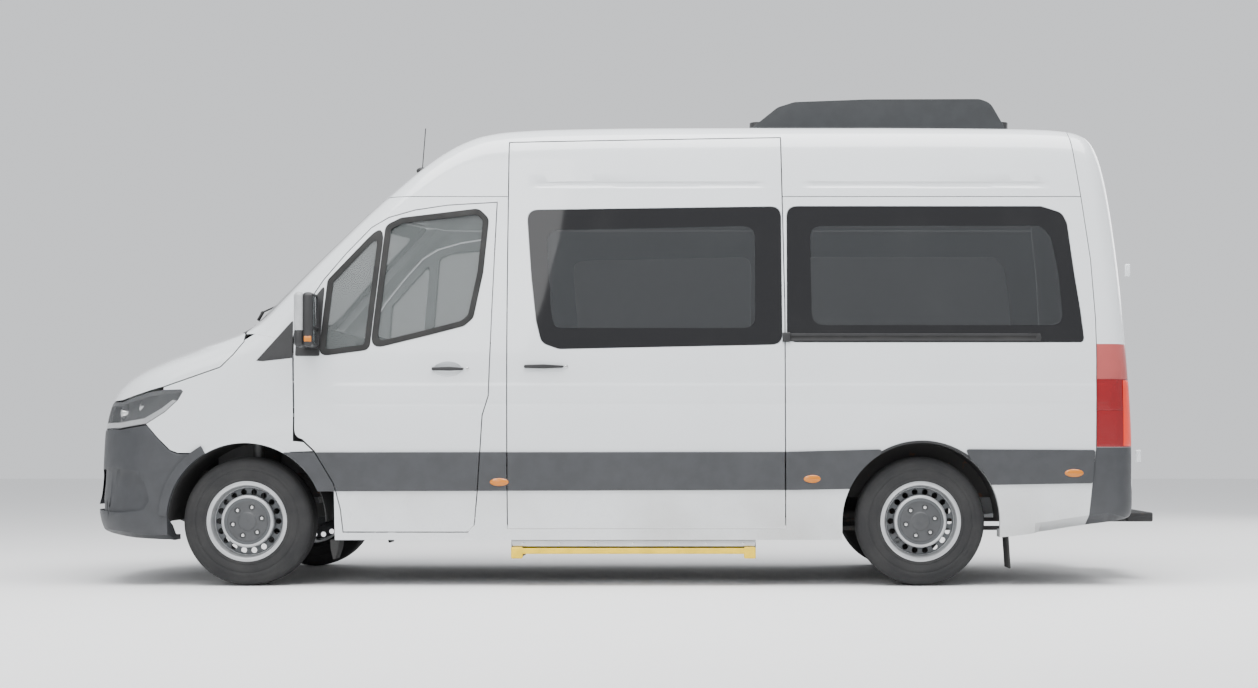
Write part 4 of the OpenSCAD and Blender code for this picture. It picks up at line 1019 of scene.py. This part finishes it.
# ---------------------------------------------------------------- lower cladding and arch lips
def cladding(side):
    word = hand_word(side)
    line = [(300, 516), (2990, 524), (3300, 530), (3460, 745), (2930, 731), (200, 728)]
    tail_line = [(4010, 551), (4592, 560), (4606, 741), (3900, 745)]
    bounds = {
        "_front_door": (word + "_front_door", grown(DOOR, -GAP / 2)),
        "_middle": ("body", grown(SLIDER, -GAP / 2)),
    }
    for tag, (body, region) in bounds.items():
        strip = on_side(rounded(line, 16.0), side)
        boolean(strip, on_side(region, side, DOOR_DEPTH), "INTERSECT")
        minus(strip, *arch_cut(side))
        strip = sheet_in(strip, -9.0, 0.5, True)
        piece(smooth(soften(strip, 3.5, 3)), word + "_cladding" + tag, body, CLADDING)
    rest = on_side(rounded(line, 16.0), side)
    minus(rest, on_side(grown(DOOR, GAP / 2), side, DOOR_DEPTH), on_side(grown(SLIDER, GAP / 2), side, DOOR_DEPTH),
          *arch_cut(side))
    rest = sheet_in(rest, -9.0, 0.5, True)
    piece(smooth(soften(rest, 3.5, 3)), word + "_cladding_sills", "body", CLADDING)
    back = on_side(rounded(tail_line, 14.0), side)
    minus(back, *arch_cut(side))
    back = sheet_in(back, -9.0, 0.5, True)
    piece(smooth(soften(back, 3.5, 3)), word + "_cladding_rear", "body", CLADDING)


def arch_lip(side, u, start, sweep, name, material, rise, out, keep_out=()):
    """The flared lip round a wheel opening, rise wide and standing out from the side."""
    ring = circle(u, AXLE_Z, ARCH_R + rise, 56, start, sweep)
    ring += circle(u, AXLE_Z, ARCH_R - 1.0, 56, start, sweep)[::-1]
    lip = minus(on_side(ring, side), *keep_out)
    lip = sheet_in(lip, -out, 2.0, True)
    return piece(smooth(soften(lip, 5.0, 4)), hand_word(side) + name, "body", material)


for hand in (LEFT, RIGHT):
    cladding(hand)
    arch_lip(hand, 0.0, 40.0, 98.0, "_front_arch_lip", WHITE, 22.0, 5.0,
             (on_side(grown(DOOR, GAP / 2), hand, DOOR_DEPTH), across(grown(BUMPER_LINE, 0.5))))
    above_bumper = [(-1100, 722), (-362, 722), (-362, 1200), (400, 1200), (400, 720), (-100, 721),
                    (-100, 1300), (-1100, 1300)]
    arch_lip(hand, 0.0, 120.0, 56.0, "_front_arch_lip_bumper", BUMPER, 46.0, 13.0,
             (across(above_bumper),))
    arch_lip(hand, WHEELBASE, 28.0, 124.0, "_rear_arch_lip", BLACK_TRIM, 12.0, 4.0)
    foot = on_side([(60, 1225), (96, 1222), (256, 1240), (256, 1440), (246, 1436)], hand)
    foot = sheet_in(foot, -2.0, 3.0, True)
    piece(smooth(soften(foot, 1.0, 2)), hand_word(hand) + "_pillar_foot", "body", BLACK_TRIM)

# ---------------------------------------------------------------- wheel housings
for hand in (LEFT, RIGHT):
    word = hand_word(hand)
    for tag, u, inner_y in (("front", 0.0, 560.0), ("rear", WHEELBASE, 706.0)):
        outer = circle(u, AXLE_Z, ARCH_R + 5.0, 48, 0.0, 180.0)
        inner = circle(u, AXLE_Z, ARCH_R + 1.0, 48, 0.0, 180.0)
        liner = slab(outer + inner[::-1], "side", *sorted((hand * inner_y, hand * 972.0)))
        piece(smooth(liner), word + "_" + tag + "_arch_liner", "body", FLAP)

# ---------------------------------------------------------------- wheels
TREAD_W = 117.5


def wheel(name, u, side, body):
    """Tyre, rim and trim of one wheel; the outer face looks away from the vehicle."""
    y = side * WHEEL_Y
    hw = TREAD_W
    half = [(204.5, hw - 25), (218, hw - 17), (219, hw - 6.5), (224, hw - 3.5), (232, hw - 2.5), (236, hw - 5),
            (246, hw - 3), (262, hw), (276, hw - 0.6), (280, hw - 3.5), (284, hw - 1.2), (300, hw - 3),
            (306, hw - 6.5), (312, hw - 5.5), (326, hw - 11), (338, hw - 19), (345, hw - 28), (348.5, hw - 40)]
    tread = [(349.5, 76), (349.5, 66.5), (341, 65), (341, 60), (350.6, 58.5), (351, 31.5), (342, 30), (342, 24.5),
             (351.5, 23), (352, 4.5), (343, 3.2)]
    profile = half + tread
    profile = profile + [(r, -b) for r, b in profile[::-1]]
    tyre = turned(profile + [profile[0]], (u, y, AXLE_Z), 1.0, 96)
    piece(smooth(tyre, 40.0), name + "_tyre_rubber", body, TYRE, (name + "_tyre",))
    face = side
    flange = turned([(191, -hw + 24), (203.6, -hw + 24.2), (203.6, hw - 24.3), (217, hw - 16), (221, hw - 12),
                     (221, hw - 8.5), (217, hw - 6.5), (206, hw - 8), (198, hw - 10), (192, hw - 22), (188, hw - 44),
                     (185, hw - 58), (181, hw - 60), (181, hw - 66), (187, hw - 66), (191, -hw + 24)],
                    (u, y, AXLE_Z), face, 96)
    piece(smooth(flange, 35.0), name + "_rim_flange", body, WHEEL_SILVER, (name + "_rim",))
    disc = turned([(34, -8), (95, -8), (99, hw - 62), (118, hw - 64), (126, hw - 66), (184, hw - 66), (184, hw - 59),
                   (176, hw - 57), (146, hw - 58), (141, hw - 50), (134, hw - 27), (128, hw - 21), (116, hw - 20),
                   (104, hw - 24), (92, hw - 33), (34, hw - 33), (34, -8)], (u, y, AXLE_Z), face, 96)
    for x, z in circle(u, AXLE_Z, 161.0, 18):
        minus(disc, rod((x, y + face * (hw - 80), z), (x, y + face * (hw - 40), z), 16.5, 14))
    piece(smooth(disc, 35.0), name + "_wheel_disc", body, WHEEL_DARK, (name + "_rim",))
    ring = turned([(128, hw - 20.5), (134, hw - 26), (141, hw - 40), (145, hw - 40), (144, hw - 28), (138, hw - 18),
                   (131, hw - 16.5), (127, hw - 18.5), (128, hw - 20.5)], (u, y, AXLE_Z), face, 96)
    piece(smooth(ring, 50.0), name + "_trim_ring", body, WHEEL_SILVER)
    cap = turned([(0.5, hw - 12), (30, hw - 12.5), (46, hw - 15), (52, hw - 20), (60, hw - 21), (98, hw - 17),
                  (110, hw - 19), (114, hw - 26), (112, hw - 32), (0.5, hw - 32), (0.5, hw - 12)],
                 (u, y, AXLE_Z), face, 72)
    bolt_places = circle(u, AXLE_Z, 80.0, 6, 12.0)
    for x, z in bolt_places:
        minus(cap, rod((x, y + face * (hw - 27), z), (x, y + face * (hw + 10), z), 17.0, 20))
    piece(smooth(soften(cap, 1.2, 2), 35.0), name + "_hub_cap", body, CAP_GREY)
    bolts = [rod((x, y + face * (hw - 29), z), (x, y + face * (hw - 19), z), 9.5, 6, 1.5)
             for x, z in bolt_places]
    piece(smooth(joined(*bolts)), name + "_wheel_bolts", body, BRIGHT)


wheel("front_left", 0.0, LEFT, "front_left_wheel")
wheel("front_right", 0.0, RIGHT, "front_right_wheel")
wheel("rear_left", WHEELBASE, LEFT, "rear_left_wheel")
wheel("rear_right", WHEELBASE, RIGHT, "rear_right_wheel")

# ---------------------------------------------------------------- roof air conditioner
cooler = slab(rounded([(2718, 2528), (2760, 2556), (2895, 2664), (2990, 2694), (3400, 2709), (4030, 2711),
                       (4090, 2690), (4160, 2570), (4172, 2528)], 90.0, 10), "side", -618.0, 618.0)
minus(cooler, skin(-1.0, False))
cooler = soften(cooler, 58.0, 8, 50.0)
for k in range(9):
    z = 2570.0 + 11.0 * k
    minus(cooler, box_cut((4120, -420, z), (4260, 420, z + 5)))
piece(smooth(cooler, 40.0), "roof_cooler_cover", "body", COOLER, ("air_conditioner",))
foot = slab(rounded([(2740, -560), (4205, -560), (4205, 560), (2740, 560)], 60.0), "plan", 2520.0, 2600.0)
minus(foot, skin(-0.5, False))
boolean(foot, box_cut((2700, -700, 2500), (4300, 700, 2592)), "INTERSECT")
piece(smooth(foot), "roof_cooler_foot", "body", BLACK_TRIM)

# ---------------------------------------------------------------- mirrors
for hand in (LEFT, RIGHT):
    word = hand_word(hand)
    body = word + "_front_door"
    y0, y1 = sorted((hand * HANDLE_Y, hand * 1186.0))
    for name, low, high, finish, stands_for in (
            ("_mirror_shell", 1380, 1600, SILVER_SHELL, (word + "_mirror",)),
            ("_mirror_lower_shell", 1280, 1377, BLACK_TRIM, ())):
        shell = block((300, y0, 1290), (352, y1, 1588), 26.0, 6)
        boolean(shell, box_cut((280, y0 - 5, low), (360, y1 + 5, high)), "INTERSECT")
        piece(smooth(soften(shell, 1.5, 2), 40.0), word + name, body, finish, stands_for)
    back = block((346, y0 + 4, 1294), (404, y1 - 4, 1584), 22.0, 5)
    for low, high in ((1400, 1568), (1310, 1388)):
        minus(back, block((398, y0 + 20, low), (420, y1 - 20, high), 8.0, 3))
    piece(smooth(back, 40.0), word + "_mirror_back", body, BLACK_TRIM, (word + "_mirror",))
    for tag, low, high in (("main", 1402, 1566), ("wide", 1312, 1386)):
        face = block((396, y0 + 22, low), (400, y1 - 22, high), 1.8, 2)
        piece(smooth(face), word + "_mirror_" + tag + "_glass", body, MIRROR_GLASS)
    arm = slab(rounded([(318, 1292), (402, 1292), (408, 1352), (380, 1372), (322, 1368)], 14.0), "side",
               *sorted((hand * 955.0, hand * 1030.0)))
    minus(arm, skin(-0.6, False))
    piece(smooth(soften(arm, 5.0, 3)), word + "_mirror_arm", body, BLACK_TRIM)
    winker = block((356, hand * 1176 - 8, 1318), (396, hand * 1176 + 10, 1350), 6.0, 3)
    piece(smooth(winker), word + "_mirror_indicator", body, AMBER)
    sail_line = [(404, 1250), (270, 1250), (276, 1440), (300, 1478), (424, 1640), (402, 1280)]
    sail = sheet_in(on_side(rounded(sail_line, 10.0), hand), -3.0, 1.0, True)
    boolean(sail, on_side(grown(DOOR, -GAP / 2 - 2), hand, DOOR_DEPTH), "INTERSECT")
    minus(sail, on_side(rounded(grown(QUARTER_PANE, 20.0), 40.0), hand))
    piece(smooth(soften(sail, 1.2, 2)), word + "_door_sail", body, BLACK_TRIM)

    # door handle in its recess
    y = hand * HANDLE_Y
    bar = slab(rounded([(1012, 1172), (1110, 1170), (1182, 1173), (1188, 1186), (1110, 1192), (1012, 1189)], 8.0),
               "side", *sorted((y - 7, y + 7)))
    piece(smooth(soften(bar, 3.5, 3)), word + "_front_handle", body, BLACK_TRIM)
    lock = rod((1206, y - hand * 12, 1182), (1206, y - hand * 2.5, 1182), 9.0, 24, 1.5)
    piece(smooth(lock), word + "_front_door_lock", body, CHROME)
    for z in HINGE_Z:
        y_low, y_high = sorted((hand * 935.0, hand * 968.0))
        leaf = block((240, y_low, z - 10), (300, y_high, z + 10), 3.0, 2)
        piece(smooth(leaf), word + "_hinge_leaf_" + str(int(z)), "body", WHITE)

# sliding door: handle, the rail under the rear glass, and the roller arm
bar = slab(rounded([(1512, 1184), (1620, 1182), (1724, 1186), (1730, 1198), (1620, 1205), (1512, 1202)], 8.0),
           "side", -1018.0, -1003.0)
piece(smooth(soften(bar, 3.5, 3)), "sliding_door_handle", "body", BLACK_TRIM)
lock = rod((1742, -1000, 1194), (1742, -1009, 1194), 9.0, 24, 1.5)
piece(smooth(lock), "sliding_door_lock", "body", CHROME)
rail = sheet_in(on_side(rounded([(2921, 1330), (4312, 1330), (4318, 1350), (4312, 1374), (2921, 1374)], 8.0), LEFT),
                -3.0, 1.0, True)
minus(rail, on_side([(2930, 1345), (4290, 1345), (4290, 1360), (2930, 1360)], LEFT))
piece(smooth(soften(rail, 1.5, 2)), "sliding_rail_cover", "body", BLACK_TRIM)
slot = sheet_in(on_side([(2932, 1344), (4292, 1344), (4292, 1361), (2932, 1361)], LEFT), -0.8, 0.6, True)
piece(smooth(slot), "sliding_rail_slot", "body", SEAL)
arm = block((2912, -1006, 1326), (2956, -986, 1378), 5.0, 3)
piece(smooth(arm), "sliding_door_roller_arm", "body", BLACK_TRIM)

# ---------------------------------------------------------------- front and roof details
antenna_foot = ball((874, -450, 2330), (34, 15, 20), 32, 16)
piece(smooth(antenna_foot), "antenna_foot", "body", BLACK_TRIM)
mast = rod((874, -450, 2335), (893, -450, 2572), 2.8, 12)
piece(smooth(mast), "antenna_mast", "body", BLACK_TRIM)
for hand in (LEFT, RIGHT):
    post = rod((-70, hand * 420, 1478), (-40, hand * 420, 1530), 9.0, 16, 2.0)
    blade_arm = rod((-52, hand * 420, 1522), (48, hand * 40, 1632), 5.0, 12)
    piece(smooth(joined(post, blade_arm)), hand_word(hand) + "_wiper_arm", "body",
          BLACK_TRIM)

# ---------------------------------------------------------------- rear doors, steps and flaps
for hand in (LEFT, RIGHT):
    word = hand_word(hand)
    for k, (u, z) in enumerate(((4862, 707), (4803, 1724))):
        y0, y1 = sorted((hand * 880.0, hand * 908.0))
        knuckle = block((u - 14, y0, z - 34), (u + 14, y1, z + 34), 6.0, 3)
        piece(smooth(knuckle), word + "_rear_hinge_cover_" + str(k + 1), "body", WHITE)
pull = slab(rounded([(-60, 1104), (-190, 1104), (-190, 1136), (-60, 1136)], 10.0), "end", 4866.0, 4880.0)
piece(smooth(soften(pull, 4.0, 3)), "left_rear_door_handle", "left_rear_door", BLACK_TRIM)

edge = block((1446, -985, 176), (2760, -957, 208), 10.0, 4)
for u in (1438.0, 2704.0):
    boolean(edge, block((u, -985, 151), (u + 64, -957, 214), 9.0, 4), "UNION")
piece(smooth(edge), "side_step_nose", "side_step", YELLOW, ("side_step",))
tread = block((1455, -958, 177), (2751, -602, 199.5), 3.0, 2)
for n in range(9):
    y = -940.0 + 36.0 * n
    minus(tread, box_cut((1480, y, 197.5), (2726, y + 12, 205)))
piece(smooth(tread), "side_step_tread", "side_step", ALUMINIUM, ("side_step",))
skirt = slab([(1446, 216), (2762, 216), (2770, 250), (1438, 250)], "side", -966.0, -956.5)
piece(smooth(soften(skirt, 2.0, 2)), "side_step_skirt", "body", ALUMINIUM)
studs = [rod((u, -964, 233), (u, -971, 233), 8.0, 6, 1.5) for u in range(1500, 2760, 200)]
piece(smooth(joined(*studs)), "side_step_skirt_bolts", "body", BRIGHT)

plank = block((4885, -480, 331), (5035, 480, 384), 10.0, 4)
minus(plank, rod((4956, 0, 357), (5046, 0, 357), 12.0, 32))
for n in range(4):
    minus(plank, box_cut((4906 + 28 * n, -450, 381.5), (4918 + 28 * n, 450, 390)))
piece(smooth(plank), "rear_step_plank", "body", STEP_BLACK, ("rear_step",))
for hand in (LEFT, RIGHT):
    word = hand_word(hand)
    y0, y1 = sorted((hand * 405.0, hand * 465.0))
    bar = slab([(4546, 331), (4934, 331), (4934, 358), (4600, 358), (4600, 469), (4546, 469)], "side", y0, y1)
    piece(smooth(soften(bar, 4.0, 2)), word + "_rear_step_arm", "body", STEP_BLACK, ("rear_step",))
    for k, y in enumerate((180.0, 400.0)):
        plug = rod((5028, hand * y, 357), (5036, hand * y, 357), 20.0, 32, 3.0)
        piece(smooth(plug), word + "_rear_step_plug_" + str(k + 1), "body", BLACK_TRIM)
    for tag, u, line, inner in (
            ("rear", WHEELBASE, [(452, 599), (464, 599), (466, 520), (494, 96), (486, 93), (454, 520)], 742.0),
            ("front", 0.0, [(447, 251), (499, 251), (492, 200), (474, 145), (463, 145), (450, 200)], 802.0)):
        flap = slab([(u + a, b) for a, b in line], "side", *sorted((hand * inner, hand * 938.0)))
        piece(smooth(soften(flap, 2.0, 2)), word + "_" + tag + "_mud_flap", "body", FLAP,
              ("mud_flaps",))

# ---------------------------------------------------------------- cabin
def cushion(name, stands, low, high, crown, lean=0.0, pivot=None, seams=()):
    """A stuffed seat part: crowned faces, drawn-in sides and sewn channels."""
    a = Vector(pt(*low))
    b = Vector(pt(*high))
    size = b - a
    centre = (a + b) / 2
    bpy.ops.object.select_all(action="DESELECT")
    bpy.ops.mesh.primitive_cube_add(size=1.0, location=(0, 0, 0))
    made = bpy.context.object
    bpy.ops.object.mode_set(mode="EDIT")
    bpy.ops.mesh.select_all(action="SELECT")
    bpy.ops.mesh.subdivide(number_cuts=11)
    bpy.ops.object.mode_set(mode="OBJECT")
    n = len(made.data.vertices)
    co = np.empty(n * 3)
    made.data.vertices.foreach_get("co", co)
    co = co.reshape(-1, 3) * 2.0
    half = np.array(size) / 2.0
    r = min(half) * 0.55
    inner = half - r
    p = co * half
    core = np.clip(p, -inner, inner)
    away = p - core
    length = np.linalg.norm(away, axis=1, keepdims=True)
    p = np.where(length > 1e-9, core + away / np.maximum(length, 1e-9) * r, p)
    thin = int(np.argmin(half))
    others = [k for k in range(3) if k != thin]
    s = np.clip(1 - np.abs(co[:, others[0]]) ** 2.4, 0, 1) * np.clip(1 - np.abs(co[:, others[1]]) ** 2.4, 0, 1)
    face = np.sign(co[:, thin]) * (np.abs(co[:, thin]) > 0.95)
    p[:, thin] -= np.sign(p[:, thin]) * crown / 1000.0 * (1 - s)
    for axis, place in seams:
        dist = np.abs(p[:, axis] / half[axis] - place)
        p[:, thin] -= face * 0.009 * np.exp(-(dist / 0.07) ** 2)
    for k, across_it in (others, others[::-1]):
        drawn_in = np.clip(1 - np.abs(co[:, across_it]), 0, 1)
        p[:, k] *= 1 - 0.03 * (1 - np.abs(co[:, thin])) * drawn_in
    made.data.vertices.foreach_set("co", p.reshape(-1))
    made.data.update()
    sub = made.modifiers.new("round", "SUBSURF")
    sub.levels = 1
    sub.render_levels = 1
    apply_modifiers(made)
    made.data.transform(Matrix.Translation(centre))
    if lean:
        hinge = Vector(pt(*pivot))
        made.data.transform(Matrix.Translation(hinge) @ Matrix.Rotation(math.radians(lean), 4, "Y")
                            @ Matrix.Translation(-hinge))
    piece(smooth(made, 60.0), name, "body", SEAT_CLOTH, stands)


SEWN = ((1, -0.62), (1, 0.62))    # the two channels of a seat face: the axis and the share of its half width
SEAT_LEAN = 12.0    # degrees
FLOOR_Z = 640.0


def seat(name, x, y0, y1, back_h, base, head):
    z = FLOOR_Z
    frame_parts = [block((x + 60, base[0], z + 1), (x + 390, base[0] + 28, z + 285), 4.0, 2),
                   block((x + 60, base[1] - 28, z + 1), (x + 390, base[1], z + 285), 4.0, 2),
                   block((x + 50, y0 + 6, z + 270), (x + 430, y1 - 6, z + 296), 6.0, 2)]
    stands = ("cab_seats",) if name.startswith("cab") else ("passenger_seats",)
    piece(smooth(joined(*frame_parts)), name + "_frame", "body", CABIN_DARK, stands)
    places = 2 if y1 - y0 > 600 else 1
    width = (y1 - y0) / places
    for k in range(places):
        a, b = y0 + k * width + 4, y0 + (k + 1) * width - 4
        tag = name + ("_" + "ab"[k] if places > 1 else "")
        pivot = (x + 440, 0, z + 380)
        cushion(tag + "_cushion", stands, (x + 2, a, z + 296), (x + 478, b, z + 418), 14.0, seams=SEWN)
        cushion(tag + "_back", stands, (x + 444, a + 8, z + 384), (x + 546, b - 8, z + 378 + back_h), 12.0,
                SEAT_LEAN, pivot, SEWN)
        if head:
            mid = (a + b) / 2
            top = z + 380 + back_h
            cushion(tag + "_headrest", stands, (x + 446, mid - 126, top + 42), (x + 528, mid + 126, top + 206),
                    10.0, SEAT_LEAN, pivot)


seat("cab_seat_left", 870.0, -690.0, -170.0, 520.0, (-620, -240), True)
seat("cab_seat_right", 870.0, 170.0, 690.0, 520.0, (240, 620), True)
for k, x in enumerate((1650.0, 2340.0, 3030.0, 3720.0)):
    seat("passenger_row_" + str(k + 1) + "_pair", x, 90.0, 900.0, 380.0, (180, 660), False)
    if k:
        seat("passenger_row_" + str(k + 1) + "_single", x, -900.0, -450.0, 380.0, (-660, -490), False)

dash_line = [(386, 901), (538, 906), (618, 982), (648, 1120), (608, 1249), (558, 1329), (469, 1398), (330, 1390),
             (131, 1320), (131, 1292), (386, 1292)]
dash = slab(rounded(dash_line, 26.0), "side", -818.0, 818.0)
minus(dash, block((560, -150, 1130), (700, 150, 1220), 10.0, 3))
minus(dash, block((560, -700, 1000), (700, -330, 1110), 10.0, 3))
for y in (-640.0, -60.0, 60.0, 640.0):
    minus(dash, block((560, y - 50, 1262), (700, y + 50, 1302), 8.0, 3))
dash = soften(dash, 5.0, 3)
piece(smooth(dash, 40.0), "dashboard_body", "body", CABIN_DARK, ("dashboard",))
hood = slab(rounded([(470, 1396), (560, 1336), (600, 1350), (590, 1400), (500, 1424)], 18.0), "side", 200.0, 560.0)
piece(smooth(soften(hood, 8.0, 3)), "instrument_hood", "body", CABIN_DARK)
wheel_turn = (Matrix.Translation(Vector(pt(720, 380, 1270))) @ Matrix.Rotation(math.radians(32), 4, "Y"))
bpy.ops.object.select_all(action="DESELECT")
bpy.ops.mesh.primitive_torus_add(major_radius=0.195, minor_radius=0.0148, major_segments=72, minor_segments=14)
rim = bpy.context.object
bpy.ops.mesh.primitive_cylinder_add(vertices=40, radius=0.062, depth=0.026)
hub = soften(bpy.context.object, 6.0, 3)
spokes = []
for angle in (90, 210, 330):
    bpy.ops.mesh.primitive_cube_add(size=1.0)
    spoke = bpy.context.object
    spoke.dimensions = (0.15, 0.034, 0.014)
    settle(spoke)
    spoke.data.transform(Matrix.Rotation(math.radians(angle), 4, "Z") @ Matrix.Translation((0.118, 0, 0)))
    spokes.append(soften(spoke, 4.0, 2))
bpy.ops.mesh.primitive_cylinder_add(vertices=32, radius=0.026, depth=0.16, location=(0, 0, -0.092))
column = settle(bpy.context.object)
helm = joined(rim, hub, column, *spokes)
helm.data.transform(wheel_turn)
piece(smooth(helm, 40.0), "steering_wheel_rim", "body", CABIN_DARK, ("steering_wheel",))

lining = slab([(1440, 2330), (4480, 2330), (4480, 2350), (1440, 2350)], "side", -760.0, 760.0)
piece(smooth(soften(lining, 4.0, 2)), "head_lining", "body", CABIN_LIGHT)
boards = slab([(395, 641), (4680, 641), (4680, 645), (395, 645)], "side", -640.0, 640.0)
piece(smooth(boards), "floor_covering", "body", CABIN_DARK)

# ---------------------------------------------------------------- finishes of the CAD pieces that stay
FINISH = {"floor_pan": UNDERBODY, "engine": ENGINE_METAL, "front_subframe": UNDERBODY, "rear_axle": UNDERBODY,
          "fuel_tank": BLACK_TRIM, "exhaust": EXHAUST, "step_housing": UNDERBODY, "left_knuckle": ENGINE_METAL,
          "right_knuckle": ENGINE_METAL}
for each in list(bpy.data.objects):
    for node, finish in FINISH.items():
        if each.type == "MESH" and (each.name == node or each.name.startswith(node + ".")):
            each.data.materials.clear()
            each.data.materials.append(finish)


# ---------------------------------------------------------------- studio
def studio():
    bpy.ops.object.select_all(action="DESELECT")
    bpy.ops.mesh.primitive_plane_add(size=60.0, location=(0, 0, 0))
    floor = bpy.context.object
    floor.name = "studio_floor"
    made, shader, t = new_material("studio_floor")
    connect(t, shader, Base_Color=noise(t, 2.0).mix((0.84, 0.84, 0.84), (0.86, 0.86, 0.86)), Roughness=0.75)
    floor.data.materials.append(made)
    world = bpy.data.worlds.new("studio")
    world.use_nodes = True
    world.node_tree.nodes["Background"].inputs["Color"].default_value = (0.95, 0.97, 1.0, 1.0)
    world.node_tree.nodes["Background"].inputs["Strength"].default_value = 0.95
    bpy.context.scene.world = world

    def softbox(name, place, aim, size, power):
        light = bpy.data.lights.new(name, "AREA")
        light.shape = "RECTANGLE"
        light.size, light.size_y = size
        light.energy = power
        lamp = bpy.data.objects.new(name, light)
        lamp.location = place
        lamp.rotation_euler = (Vector(aim) - Vector(place)).to_track_quat("-Z", "Y").to_euler()
        bpy.context.scene.collection.objects.link(lamp)

    softbox("overhead", (0.5, -2.5, 7.5), (0, 0, 1), (11.0, 6.0), 1500.0)
    softbox("key_side", (-4.0, -9.0, 5.0), (0, 0, 1.2), (6.0, 4.0), 220.0)
    softbox("rear_side", (7.5, 6.0, 4.5), (0, 0, 1.2), (5.0, 4.0), 260.0)
    camera = bpy.data.objects.new("camera", bpy.data.cameras.new("camera"))
    camera.location = (0.598, -11.55, 0.784)
    camera.rotation_euler = (math.radians(90), 0, 0)
    camera.data.lens = 55.7
    camera.data.sensor_width = 36.0
    camera.data.shift_x = -0.0787
    camera.data.shift_y = 0.0779
    bpy.context.scene.collection.objects.link(camera)
    bpy.context.scene.camera = camera


for each in SKINS.values():
    drop(each)
studio()
